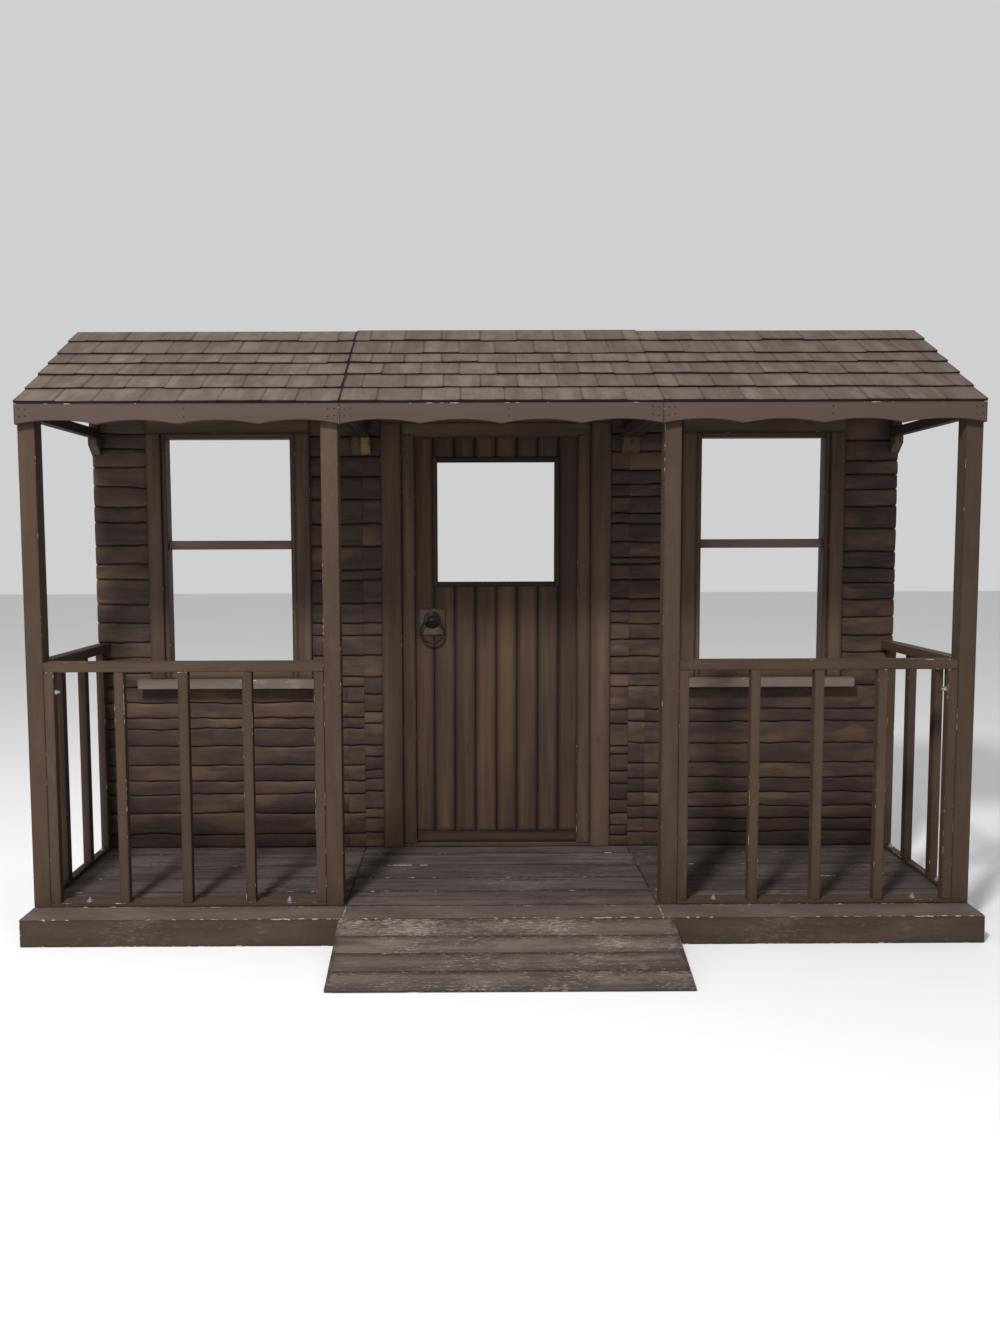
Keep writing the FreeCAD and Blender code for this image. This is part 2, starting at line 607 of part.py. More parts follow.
def side_balusters():
    solids = []
    for y in (SIDE_MID - SIDE_PITCH / 2, SIDE_MID + SIDE_PITCH / 2):
        baluster = box(HALF_W - BALUSTER_D, HALF_W, y - BALUSTER_W / 2, y + BALUSTER_W / 2,
                       DECK_Z + BOTTOM_RAIL_H, RAIL_TOP - RAIL_H)
        solids.append(chamfer_long(baluster, FINE_EDGE, Vector(0, 0, 1)))
    return solids


# ---- roof ----
def roof_point(s, n):
    """(y, z) of a point s up the slope from the eaves and n above the shingle butts."""
    return (ROOF_FRONT + s * math.cos(SLOPE) - n * math.sin(SLOPE),
            ROOF_FRONT_Z + s * math.sin(SLOPE) + n * math.cos(SLOPE))


def slope_z(y, n):
    """Height of the plane n above the shingle butts, at depth y."""
    return ROOF_FRONT_Z + (y - ROOF_FRONT) * math.tan(SLOPE) + n / math.cos(SLOPE)


def truss(x):
    """Tie, rafter, back leg and short top strut, each its own timber."""
    deck_n = -SHINGLE_T - UNDERLAY_T - SHEATHING_T
    top_y = roof_point(ROOF_L, deck_n)[0]
    top_z = slope_z(top_y, deck_n)
    under = deck_n - RAFTER_H
    heel = POST_FRONT + (TIE_TOP - slope_z(POST_FRONT, under)) / math.tan(SLOPE)
    back = WALL_FACE
    rafter = prism_x([(POST_FRONT, TIE_TOP), (POST_FRONT, slope_z(POST_FRONT, deck_n)), (top_y, top_z),
                      (top_y, slope_z(top_y, under)), (heel, TIE_TOP)], x, x + TIE_W)
    return [box(x, x + TIE_W, POST_FRONT, back, POST_TOP, TIE_TOP), rafter,
            box(x, x + TIE_W, back - LEG_D, back, TIE_TOP, top_z),
            box(x, x + TIE_W, top_y, back - LEG_D, top_z - TIE_H, top_z)]


def roof_frame(x0, x1):
    """Two trusses with a header behind the fascia and another under the top edge."""
    deck_n = -SHINGLE_T - UNDERLAY_T - SHEATHING_T
    a, b = x0 + TIE_W, x1 - TIE_W
    front = box(a, b, POST_FRONT, POST_FRONT + TIE_W, POST_TOP, slope_z(POST_FRONT, deck_n))
    lo, hi = roof_point(ROOF_L - TIE_W, deck_n), roof_point(ROOF_L, deck_n)
    under = deck_n - RAFTER_H
    top = prism_x([lo, hi, roof_point(ROOF_L, under), roof_point(ROOF_L - TIE_W, under)], a, b)
    return truss(x0) + truss(x1 - TIE_W) + [front, top]


def roof_sheathing(x0, x1):
    top, low = -SHINGLE_T - UNDERLAY_T, -SHINGLE_T - UNDERLAY_T - SHEATHING_T
    outline = [(POST_FRONT, slope_z(POST_FRONT, low)), (POST_FRONT, slope_z(POST_FRONT, top)),
               roof_point(ROOF_L, top), roof_point(ROOF_L, low)]
    return prism_x(outline, x0, x1)


def shingles(x0, x1, phase, length):
    """Overlapping courses on one underlay. Each shingle thins towards its top."""
    width = (x1 - x0) / SHINGLES_PER_COURSE
    base, bed = -SHINGLE_T - UNDERLAY_T, -SHINGLE_T
    corners = ((0, base), (0, bed), (length, bed), (length, base))
    parts = [prism_x([roof_point(s, n) for s, n in corners], x0, x1)]
    for row, (foot, head) in enumerate(zip(COURSES, COURSES[1:] + (length,))):
        start = -0.5 * width if row % 2 else 0.0
        for i in range(SHINGLES_PER_COURSE + (row % 2)):
            a = max(x0, x0 + start + i * width + SHINGLE_GAP / 2)
            b = min(x1, x0 + start + (i + 1) * width - SHINGLE_GAP / 2)
            lag = SHINGLE_STAGGER * math.sin(2.9 * i + 1.3 * row + phase) if row else 0.0
            s0 = foot + lag
            top = min(length, head + SHINGLE_STAGGER)
            outline = [(s0, base + 1), (s0, 0), (top, bed + 0.5), (top, base + 1)]
            parts.append(prism_x([roof_point(s, n) for s, n in outline], a, b))
    return fuse(parts)


def fascia(x0, x1):
    """Front board with a scalloped lower edge."""
    y = POST_FRONT - FASCIA_T
    step = (x1 - x0) / SCALLOPS
    edges = [Part.makeLine(Vector(x1, y, FASCIA_LOW), Vector(x1, y, FASCIA_TOP)),
             Part.makeLine(Vector(x1, y, FASCIA_TOP), Vector(x0, y, FASCIA_TOP)),
             Part.makeLine(Vector(x0, y, FASCIA_TOP), Vector(x0, y, FASCIA_LOW))]
    for i in range(SCALLOPS):
        a = x0 + i * step
        crown = Vector(a + step / 2, y, FASCIA_LOW + FASCIA_RISE)
        edges.append(Part.Arc(Vector(a, y, FASCIA_LOW), crown, Vector(a + step, y, FASCIA_LOW)).toShape())
    face = Part.Face(Part.Wire(Part.__sortEdges__(edges)))
    return face.extrude(Vector(0, FASCIA_T, 0))


def wall_corbels():
    """Blocks on the wall under the back end of each tie."""
    back = WALL_FACE
    low = POST_TOP - CORBEL_H
    outline = [(back, POST_TOP), (-CORBEL_D, POST_TOP), (-CORBEL_D, POST_TOP - CORBEL_NOSE),
               (back - 4, low), (back, low)]
    starts = (SEAM_X - TIE_W, SEAM_X, HALF_W - TIE_W)
    solids = []
    for x in starts:
        solids += pair(prism_x(outline, x, x + TIE_W))
    return solids


# ---- bolts ----
def bolt(x, y, z, direction):
    """Washer, hexagon nut and the end of the thread, standing on a surface."""
    washer = Part.makeCylinder(WASHER_R, WASHER_T)
    corner = BOLT_FLATS / math.sqrt(3)
    ring = []
    for i in range(6):
        turn = math.radians(60 * i)
        ring.append(Vector(corner * math.cos(turn), corner * math.sin(turn), WASHER_T))
    nut = Part.Face(Part.makePolygon(ring + ring[:1])).extrude(Vector(0, 0, BOLT_HEAD))
    stub = Part.makeCylinder(BOLT_R, BOLT_HEAD + BOLT_STUB, Vector(0, 0, WASHER_T))
    shape = fuse([washer, nut, stub])
    shape.Placement = FreeCAD.Placement(Vector(x, y, z), FreeCAD.Rotation(Vector(0, 0, 1), direction))
    return shape


def coach_bolts():
    """Bolts that hold the rail panels to posts and deck, and the modules' ties together."""
    up, inward = Vector(0, 0, 1), Vector(-1, 0, 0)
    y, z = POST_FRONT + POST / 3, DECK_Z + BOTTOM_RAIL_H
    ends = (BALUSTER_MID - BALUSTER_PITCH, BALUSTER_MID + BALUSTER_PITCH)
    solids = []
    for x in ((POST_IN_X + ends[0]) / 2, (POST_OUT_X + ends[1]) / 2):
        solids += pair(bolt(x, y, z, up))
    for y_side in (POST_BACK + SIDE_BOLT_FRONT, WALL_FACE - SIDE_BOLT_BACK):
        solids += pair(bolt(HALF_W - BALUSTER_D / 2, y_side, z, up))
    x_stile, z_stile = POST_OUT_X - BALUSTER_W, RAIL_TOP - STILE_BOLT_DROP
    solids += pair(bolt(x_stile, POST_FRONT + BALUSTER_D / 2, z_stile, inward))
    for y_tie in (POST_FRONT + TIE_BOLT_FRONT, WALL_FACE - TIE_BOLT_BACK):
        solids += pair(bolt(SEAM_X - TIE_W, y_tie, POST_TOP + TIE_H / 2, inward))
    return solids


def build_modules():
    for i, (name, x0, x1) in enumerate(modules()):
        save("base_frame_" + name, base_frame(x0, x1))
        save("deck_boards_" + name, deck_boards(x0, x1))
        save("roof_frame_" + name, roof_frame(x0, x1))
        save("roof_sheathing_" + name, roof_sheathing(x0, x1))
        length = ROOF_L + (RIDGE_LAP if name == "centre" else 0)
        save("shingles_" + name, shingles(x0, x1, 2.0 * i, length))
        save("fascia_" + name, fascia(x0, x1))
        if name == "centre":
            save("wall_frame_centre", door_wall_frame())
            save("cladding_centre", door_cladding())
            continue
        cx = WINDOW_X if name == "right" else -WINDOW_X
        save("wall_frame_" + name, window_wall_frame(x0, x1, cx))
        save("cladding_" + name, window_cladding(x0, x1, cx, 2.6 * i))
        save("window_lining_" + name, window_lining(cx))
        save("window_bar_" + name, window_bar(cx))
        save("window_trim_" + name, window_trim(cx))
        save("window_sill_" + name, window_sill(cx))


def build_door():
    save("door_frame", door_frame())
    save("door_threshold", door_threshold())
    save("door_casing", door_casing())
    save("door_boards", door_boards())
    save("door_bottom_rail", door_bottom_rail())
    save("door_ledges", door_ledges())
    save("door_window_bead", door_window_bead())
    hinges = [z + LEDGE_H / 2 for z in ledge_levels()]
    save("door_hinge_straps", [hinge_strap(z) for z in hinges])
    save("door_hinge_plates", [hinge_plate(z) for z in hinges])
    save("handle_pad", handle_pad())
    save("handle_boss", handle_boss())
    save("handle_ring", handle_ring())


def build_porch():
    inner = SEAM_X + INNER_POST_INSET
    for name, x in (("outer_left", -HALF_W), ("inner_left", -inner - POST), ("inner_right", inner),
                    ("outer_right", HALF_W - POST)):
        save("post_" + name, post(x))
    panels = (("front_rail_", front_rail), ("front_balusters_", front_balusters),
              ("side_rail_", side_rail), ("side_balusters_", side_balusters))
    for name, make in panels:
        solids = make()
        save(name + "left", [s.mirror(Vector(0, 0, 0), Vector(1, 0, 0)) for s in solids])
        save(name + "right", solids)
    save("ramp_boards", ramp_boards())
    save("ramp_stringers", ramp_stringers())
    save("wall_corbels", wall_corbels())
    save("coach_bolts", coach_bolts())


os.makedirs("parts", exist_ok=True)
build_modules()
build_door()
build_porch()
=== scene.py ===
import math
import random

import bpy
from mathutils import Matrix, Vector, noise


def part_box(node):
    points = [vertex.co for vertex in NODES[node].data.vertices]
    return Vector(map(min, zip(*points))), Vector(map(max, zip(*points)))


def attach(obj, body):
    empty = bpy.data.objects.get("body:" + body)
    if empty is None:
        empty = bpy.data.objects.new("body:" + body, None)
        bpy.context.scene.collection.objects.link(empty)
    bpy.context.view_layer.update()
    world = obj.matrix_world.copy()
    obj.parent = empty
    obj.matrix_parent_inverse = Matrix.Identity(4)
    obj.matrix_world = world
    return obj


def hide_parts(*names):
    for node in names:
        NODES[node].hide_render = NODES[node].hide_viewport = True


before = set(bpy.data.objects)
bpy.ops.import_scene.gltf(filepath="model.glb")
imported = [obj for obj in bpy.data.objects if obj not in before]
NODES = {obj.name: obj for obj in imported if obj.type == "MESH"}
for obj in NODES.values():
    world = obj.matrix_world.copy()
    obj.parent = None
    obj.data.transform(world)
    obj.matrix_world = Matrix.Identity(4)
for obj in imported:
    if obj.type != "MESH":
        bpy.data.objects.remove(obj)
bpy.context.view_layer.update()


# ---- reading the frame ----
def solids(node):
    """The closed solids of a CAD node, in order, as lists of (corner, corner, corner) triangles."""
    mesh = NODES[node].data
    mesh.calc_loop_triangles()
    found, current, edges = [], [], {}
    for tri in mesh.loop_triangles:
        corners = [mesh.vertices[i].co.copy() for i in tri.vertices]
        keys = [tuple(round(c * 1e5) for c in p) for p in corners]
        current.append(corners)
        for a, b in zip(keys, keys[1:] + keys[:1]):
            edge = (min(a, b), max(a, b))
            if edge in edges:
                del edges[edge]
            else:
                edges[edge] = True
        if not edges:
            found.append(current)
            current = []
    return found


def extent(triangles):
    """The lowest and highest corner of a solid's box."""
    points = [p for tri in triangles for p in tri]
    return (Vector([min(p[i] for p in points) for i in range(3)]),
            Vector([max(p[i] for p in points) for i in range(3)]))


def boxes(node):
    """The box of each solid of a CAD node, in order."""
    return [extent(s) for s in solids(node)]


# ---- mesh building ----
class Build:
    """Gathers the timbers of one piece, with each point's place in its own timber."""

    def __init__(self, seed):
        self.points, self.faces, self.place, self.half, self.tone, self.kind = [], [], [], [], [], []
        self.rng = random.Random(seed)

    def add(self, points, faces, grain, tone=None, kind=0):
        """One closed timber. grain is the number of the axis that its grain runs along."""
        lo = [min(p[i] for p in points) for i in range(3)]
        hi = [max(p[i] for p in points) for i in range(3)]
        mid = [(a + b) / 2 for a, b in zip(lo, hi)]
        order = (grain, (grain + 1) % 3, (grain + 2) % 3)
        half = [(hi[i] - lo[i]) / 2 for i in order]
        tone = self.rng.random() if tone is None else tone
        start = len(self.points)
        for p in points:
            self.points.append(Vector(p))
            self.place.append([p[i] - mid[i] for i in order])
            self.half.append(half)
            self.tone.append(tone)
        for f in faces:
            self.faces.append([start + i for i in f])
            self.kind.append(kind)

    def extrude(self, profile, axis, a, b, step=0.12, wobble=0.0004, ends=0.0012, grain=None,
                tone=None, kind=0):
        """A profile of (p, q) points, in the two axes after axis, run from a to b.
        The sections between the ends wander inwards a little, as worn timber does."""
        first, second = (axis + 1) % 3, (axis + 2) % 3
        cp = sum(p for p, q in profile) / len(profile)
        cq = sum(q for p, q in profile) / len(profile)
        wide = max(p for p, q in profile) - min(p for p, q in profile)
        tall = max(q for p, q in profile) - min(q for p, q in profile)
        count = max(2, int(round((b - a) / step)))
        stations = [(a, ends), (a + ends, 0.0)]
        stations += [(a + (b - a) * i / count, 0.0) for i in range(1, count)]
        stations += [(b - ends, 0.0), (b, ends)]
        seed = self.rng.uniform(0, 500)
        points, n = [], len(profile)
        for k, (x, inset) in enumerate(stations):
            for j, (p, q) in enumerate(profile):
                drift = wobble * (0.5 + 0.5 * noise.noise(Vector((x * 6.3, j * 1.7, seed))))
                drift = 0.0 if k in (0, len(stations) - 1) else drift
                pull = inset + drift
                point = [0.0, 0.0, 0.0]
                point[axis] = x
                point[first] = p + (cp - p) * min(1, 2 * pull / wide)
                point[second] = q + (cq - q) * min(1, 2 * pull / tall)
                points.append(point)
        faces = [list(range(n))[::-1], [(len(stations) - 1) * n + j for j in range(n)]]
        for k in range(len(stations) - 1):
            for j in range(n):
                m = (j + 1) % n
                faces.append([k * n + j, k * n + m, (k + 1) * n + m, (k + 1) * n + j])
        self.add(points, faces, axis if grain is None else grain, tone, kind)

    def plank(self, lo, hi, radius=0.003, step=0.12, wobble=0.0005, tone=None, grain=None, kind=0,
              front=None):
        """A timber that fills a box, grain along its length, with eased edges.
        front is a larger easing for the two long edges on its low side in the first cross axis."""
        size = [h - l for l, h in zip(lo, hi)]
        axis = size.index(max(size)) if grain is None else grain
        first, second = (axis + 1) % 3, (axis + 2) % 3
        a0, a1, b0, b1 = lo[first], hi[first], lo[second], hi[second]
        corners = [(a0, b0), (a1, b0), (a1, b1), (a0, b1)]
        radii = [radius] * 4
        if front is not None:
            low = [i for i, (p, q) in enumerate(corners) if (p if first == 1 else q) == lo[1]]
            for i in low:
                radii[i] = front
        profile = eased(corners, radii)
        self.extrude(profile, axis, lo[axis], hi[axis], step, wobble, min(radius, 0.0015), axis, tone, kind)

    def solid(self, triangles, grain, tone=None, kind=0):
        """A CAD solid with its own outline, its corners shared again."""
        index, points, faces = {}, [], []
        for tri in triangles:
            face = []
            for p in tri:
                key = tuple(round(c * 1e5) for c in p)
                if key not in index:
                    index[key] = len(points)
                    points.append(p)
                face.append(index[key])
            faces.append(face)
        self.add(points, faces, grain, tone, kind)

    def piece(self, name, body, slot, materials, nodes=(), bevel=0.0):
        """The gathered timbers as one object that rides a body and may stand for CAD nodes."""
        mesh = bpy.data.meshes.new(name)
        mesh.from_pydata(self.points, [], self.faces)
        for key, values in (("place", self.place), ("half", self.half)):
            layer = mesh.attributes.new(key, "FLOAT_VECTOR", "POINT")
            layer.data.foreach_set("vector", [c for v in values for c in v])
        layer = mesh.attributes.new("tone", "FLOAT", "POINT")
        layer.data.foreach_set("value", self.tone)
        mesh.update()
        obj = bpy.data.objects.new(name, mesh)
        bpy.context.scene.collection.objects.link(obj)
        if bevel:
            flat = obj.modifiers.new("flat", "DECIMATE")
            flat.decimate_type, flat.angle_limit = "DISSOLVE", 0.01
            cut = obj.modifiers.new("eased", "BEVEL")
            cut.width, cut.segments, cut.limit_method, cut.angle_limit = bevel, 2, "ANGLE", 0.5
        dress(obj, materials)
        mesh.polygons.foreach_set("material_index", self.kind)
        mesh.polygons.foreach_set("use_smooth", [True] * len(mesh.polygons))
        mesh.set_sharp_from_angle(angle=math.radians(50))
        even = obj.modifiers.new("even", "WEIGHTED_NORMAL")
        even.keep_sharp = True
        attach(obj, body)
        if nodes:
            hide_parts(*nodes)


def eased(corners, radii):
    """A closed polygon with each corner cut back and rounded by its radius."""
    out, n = [], len(corners)
    for i, (p, r) in enumerate(zip(corners, radii)):
        p, before, after = Vector(p), Vector(corners[i - 1]), Vector(corners[(i + 1) % n])
        if r <= 0:
            out.append(tuple(p))
            continue
        a = p + (before - p).normalized() * r
        b = p + (after - p).normalized() * r
        out += [tuple(a), tuple((a + b) / 4 + p / 2), tuple(b)]
    return out


def dress(obj, materials):
    """Gives an object one material, or a list of them for its faces to choose from."""
    materials = materials if isinstance(materials, list) else [materials]
    obj.data.materials.clear()
    for m in materials:
        obj.data.materials.append(m)


# ---- materials ----
class Graph:
    """One material's nodes: each method adds a node and returns the socket that carries its result."""

    def __init__(self, name):
        self.material = bpy.data.materials.new(name)
        self.material.use_nodes = True
        self.tree = self.material.node_tree
        self.shader = self.tree.nodes["Principled BSDF"]

    def node(self, kind, inputs=(), **settings):
        """Any shader node, with its inputs linked or set and its settings set."""
        made = self.tree.nodes.new("ShaderNode" + kind)
        for key, value in settings.items():
            setattr(made, key, value)
        for key, value in dict(inputs).items():
            if isinstance(value, bpy.types.NodeSocket):
                self.tree.links.new(value, made.inputs[key])
            else:
                made.inputs[key].default_value = value
        return made

    def math(self, operation, a, b=0.0):
        return self.node("Math", {0: a, 1: b}, operation=operation).outputs[0]

    def vector(self, operation, a, b=(0, 0, 0), scale=None):
        inputs = {0: a, 1: b}
        if scale is not None:
            inputs["Scale"] = scale
        return self.node("VectorMath", inputs, operation=operation).outputs[0]

    def noise(self, where, scale, detail=3.0, rough=0.55, stretch=(1, 1, 1)):
        """Noise that is drawn out along each axis whose stretch is small."""
        spot = self.vector("MULTIPLY", where, stretch)
        return self.node("TexNoise", {"Vector": spot, "Scale": scale, "Detail": detail,
                                      "Roughness": rough}).outputs["Fac"]

    def ramp(self, value, low, high, out_low=0.0, out_high=1.0, smooth=True):
        """A value taken from the range low to high to the range out_low to out_high, and held there."""
        made = self.node("MapRange", {"Value": value, "From Min": low, "From Max": high, "To Min": out_low,
                                      "To Max": out_high})
        made.interpolation_type = "SMOOTHSTEP" if smooth else "LINEAR"
        return made.outputs["Result"]

    def mix(self, factor, a, b, blend="MIX"):
        """Two colours mixed, each a socket or three numbers."""
        made = self.node("Mix", data_type="RGBA", blend_type=blend)
        for socket, value in ((made.inputs[0], factor), (made.inputs[6], a), (made.inputs[7], b)):
            if isinstance(value, bpy.types.NodeSocket):
                self.tree.links.new(value, socket)
            elif isinstance(value, (int, float)):
                socket.default_value = value
            else:
                socket.default_value = (*value, 1.0)
        return made.outputs[2]

    def join(self, value, key):
        """Links a socket to the shader's input of that name."""
        self.tree.links.new(value, self.shader.inputs[key])

    def bump(self, height, distance, strength):
        return self.node("Bump", {"Height": height, "Distance": distance, "Strength": strength}).outputs[0]


def timber(name, base, dark, glow, chip=(0.42, 0.36, 0.31), chips=0.0, shade=0.45, shade_width=0.02,
           glow_amount=0.4, streak=0.5, patch=0.35, rough=0.62, dust=0.0, dust_and_top_light_colour=(0.3, 0.27, 0.25),
           vary=0.35, knots=0.0, relief=0.0007, flow=0.8, grit=42.0, ends=True, reach=75.0, top_light=0.0):
    """Stained or painted wood: grain along each timber, painted shade along its edges, a painted highlight
    in its middle, patches, scuffs and chips. base, dark, glow and chip are colours; glow is the colour of
    the painted highlight.
    shade is painted shade: it darkens a band shade_width wide along the edges, and along the ends too where
    ends is true. flow stretches the patches along the grain where it is small, grit is the scale of the
    scuffs, reach keeps the chips near the edges where it is large, and the last argument lightens faces that
    point up, as painted light from above."""
    g = Graph(name)
    place = g.node("Attribute", attribute_name="place").outputs["Vector"]
    half = g.node("Attribute", attribute_name="half").outputs["Vector"]
    tone = g.node("Attribute", attribute_name="tone").outputs["Fac"]
    shift = g.vector("SCALE", (37.0, 19.0, 53.0), scale=tone)
    spot = g.vector("ADD", place, shift)
    gap = g.node("SeparateXYZ", {0: g.vector("SUBTRACT", half, g.vector("ABSOLUTE", place))}).outputs
    if ends:
        inner = g.math("MINIMUM", g.math("MAXIMUM", gap[0], gap[1]), gap[2])
        edge = g.math("MAXIMUM", g.math("MINIMUM", gap[0], gap[1]), inner)
    else:
        edge = g.math("MAXIMUM", gap[1], gap[2])

    broad = g.noise(spot, 3.2, 3.0, 0.55, (0.8 * flow, 1.6, 1.6))
    lines = g.noise(spot, 26.0, 4.0, 0.6, (0.07, 1.0, 1.0))
    fibre = g.noise(spot, 190.0, 3.0, 0.6, (0.03, 1.0, 1.0))
    blotch = g.noise(spot, 9.0, 3.0, 0.6, (flow, 1.2, 1.2))

    colour = g.mix(g.ramp(lines, 0.36, 0.68, 1.0 * streak, 0.0), base, dark)
    colour = g.mix(g.ramp(fibre, 0.35, 0.6, 0.5 * streak, 0.0), colour, dark)
    # Painted highlight: the glow colour lightens the middle of each face, away from its edges.
    middle = g.ramp(edge, 0.35 * shade_width, 1.6 * shade_width)
    lit = g.math("MULTIPLY", g.ramp(blotch, 0.42, 0.62, 0.0, glow_amount), middle)
    colour = g.mix(lit, colour, glow)
    colour = g.mix(g.ramp(broad, 0.38, 0.66, patch, 0.0), colour, dark)
    # Painted shade: a ragged band along the edges is darkened.
    rim = g.math("ADD", edge, g.math("MULTIPLY", g.math("SUBTRACT", blotch, 0.5), 1.4 * shade_width))
    colour = g.mix(g.ramp(rim, 0.0, shade_width, shade, 0.0), colour, tuple(0.42 * c for c in dark))
    if knots:
        cells = g.node("TexVoronoi", {"Vector": g.vector("MULTIPLY", spot, (0.33, 1.0, 1.0)), "Scale": 7.5,
                                      "Randomness": 1.0}, feature="F1").outputs["Distance"]
        colour = g.mix(g.ramp(cells, 0.035, 0.1, knots, 0.0), colour, tuple(0.5 * c for c in dark))
    level = g.ramp(tone, 0.0, 1.0, 1.0 - vary, 1.0 + 0.5 * vary, smooth=False)
    tint = g.node("CombineColor", {0: level, 1: level, 2: level}).outputs[0]
    colour = g.mix(1.0, colour, tint, "MULTIPLY")
    height = g.math("ADD", g.math("MULTIPLY", lines, 0.7), g.math("MULTIPLY", fibre, 0.45))
    # Painted light from above: faces that point up are lightened towards the dust colour, in patches.
    if top_light:
        up = g.node("SeparateXYZ", {0: g.node("NewGeometry").outputs["Normal"]}).outputs[2]
        worn = g.math("MULTIPLY", g.ramp(up, 0.5, 0.95), g.ramp(blotch, 0.2, 0.8, 0.5 * top_light, top_light))
        colour = g.mix(worn, colour, dust_and_top_light_colour)
    if dust:
        scuff = g.noise(spot, grit, 6.0, 0.72, (0.3, 1.0, 1.0))
        where = g.noise(spot, 2.3, 3.0, 0.6)
        both = g.math("ADD", scuff, g.math("MULTIPLY", g.math("SUBTRACT", where, 0.5), 0.6))
        colour = g.mix(g.ramp(both, 0.52, 0.78, 0.0, dust), colour, dust_and_top_light_colour)
    if chips:
        crumb = g.noise(spot, 95.0, 3.0, 0.62, (0.3, 1.0, 1.0))
        run = g.noise(spot, 4.5, 2.0, 0.5)
        score = g.math("ADD", crumb, g.math("MULTIPLY", g.math("SUBTRACT", run, 0.5), 0.8))
        score = g.math("SUBTRACT", score, g.math("MULTIPLY", edge, reach))
        wear = g.ramp(score, 0.62 - 0.16 * chips, 0.66 - 0.16 * chips)
        colour = g.mix(wear, colour, chip)
        height = g.math("SUBTRACT", height, g.math("MULTIPLY", wear, 0.6))
    g.join(colour, "Base Color")
    g.join(g.ramp(lines, 0.3, 0.7, rough + 0.1, rough - 0.08, smooth=False), "Roughness")
    g.shader.inputs["Specular IOR Level"].default_value = 0.14
    g.join(g.bump(height, relief, 0.8), "Normal")
    return g.material


def iron(name, highlighted=False):
    """Black-painted iron: soft brush marks, brown where the paint has worn through.
    A true second argument adds a painted highlight where the tone attribute is high."""
    g = Graph(name)
    spot = g.node("TexCoord").outputs["Object"]
    grit = g.noise(spot, 420.0, 4.0, 0.6)
    cloud = g.noise(spot, 38.0, 3.0, 0.55)
    colour = g.mix(g.ramp(cloud, 0.38, 0.66), (0.006, 0.0055, 0.0055), (0.017, 0.014, 0.013))
    colour = g.mix(g.ramp(g.math("ADD", grit, g.math("MULTIPLY", cloud, 0.3)), 0.72, 0.8, 0.0, 0.7), colour,
                   (0.07, 0.04, 0.024))
    if highlighted:
        # Painted highlight on the bead crests, where the tone attribute is high.
        bead_highlight = g.ramp(g.node("Attribute", attribute_name="tone").outputs["Fac"], 0.6, 0.95, 0.0, 0.85)
        highlight_mask = g.math("MULTIPLY", bead_highlight, g.ramp(cloud, 0.35, 0.6, 0.5, 1.0))
        colour = g.mix(highlight_mask, colour, (0.15, 0.125, 0.105))
    g.join(colour, "Base Color")
    g.join(g.ramp(cloud, 0.3, 0.7, 0.3, 0.5, smooth=False), "Roughness")
    g.shader.inputs["Metallic"].default_value = 0.1
    g.shader.inputs["Specular IOR Level"].default_value = 0.18
    g.join(g.bump(grit, 0.0006, 0.6), "Normal")
    return g.material


def zinc(name):
    """Dull zinc plate with darker crystals and brown grime; under the roof it is darkened and loses its
    metal, as painted shade.
    """
    g = Graph(name)
    spot = g.node("TexCoord").outputs["Object"]
    cells = g.node("TexVoronoi", {"Vector": spot, "Scale": 380.0}, feature="F1").outputs["Color"]
    grime = g.noise(spot, 120.0, 4.0, 0.6)
    tone = g.node("SeparateColor", {0: cells}).outputs[0]
    colour = g.mix(g.ramp(tone, 0.0, 1.0), (0.34, 0.35, 0.36), (0.52, 0.53, 0.54))
    colour = g.mix(g.ramp(grime, 0.52, 0.66, 0.0, 0.75), colour, (0.12, 0.1, 0.085))
    # Painted shade: bolts higher than about 2 m, under the roof, turn dark and not metallic.
    high = g.ramp(g.node("SeparateXYZ", {0: spot}).outputs[2], 2.0, 2.1)
    colour = g.mix(high, colour, (0.03, 0.02, 0.015))
    g.join(colour, "Base Color")
    g.join(g.ramp(grime, 0.35, 0.65, 0.32, 0.6, smooth=False), "Roughness")
    g.join(g.math("SUBTRACT", 0.85, g.math("MULTIPLY", high, 0.85)), "Metallic")
    g.join(g.bump(grime, 0.0003, 0.5), "Normal")
    return g.material


def floor_paint(name):
    """Pale matt studio floor with a faint cloudiness."""
    g = Graph(name)
    spot = g.node("TexCoord").outputs["Object"]
    cloud = g.noise(spot, 0.7, 2.0, 0.5)
    g.join(g.mix(cloud, (0.7, 0.7, 0.695), (0.74, 0.74, 0.735)), "Base Color")
    g.shader.inputs["Roughness"].default_value = 0.9
    return g.material


POST = timber("post_paint", (0.063, 0.038, 0.025), (0.04, 0.024, 0.015), (0.078, 0.049, 0.031), chips=0.66,
              shade=0.4, shade_width=0.007, glow_amount=0.35, streak=0.35, vary=0.1, dust=0.08,
              dust_and_top_light_colour=(0.2, 0.16, 0.13), chip=(0.36, 0.29, 0.22), flow=0.3, reach=95.0)
TRIM = timber("trim_stain", (0.095, 0.06, 0.041), (0.044, 0.027, 0.02), (0.135, 0.084, 0.05), chips=0.12,
              shade=0.6, shade_width=0.012, glow_amount=0.45, streak=0.6, vary=0.14, knots=0.5,
              chip=(0.34, 0.25, 0.15), flow=0.12)
FASCIA = timber("fascia_paint", (0.069, 0.046, 0.037), (0.049, 0.032, 0.027), (0.079, 0.054, 0.044),
                chips=0.3, shade=0.35, shade_width=0.007, glow_amount=0.25, streak=0.2, vary=0.08,
                patch=0.25, flow=0.3)
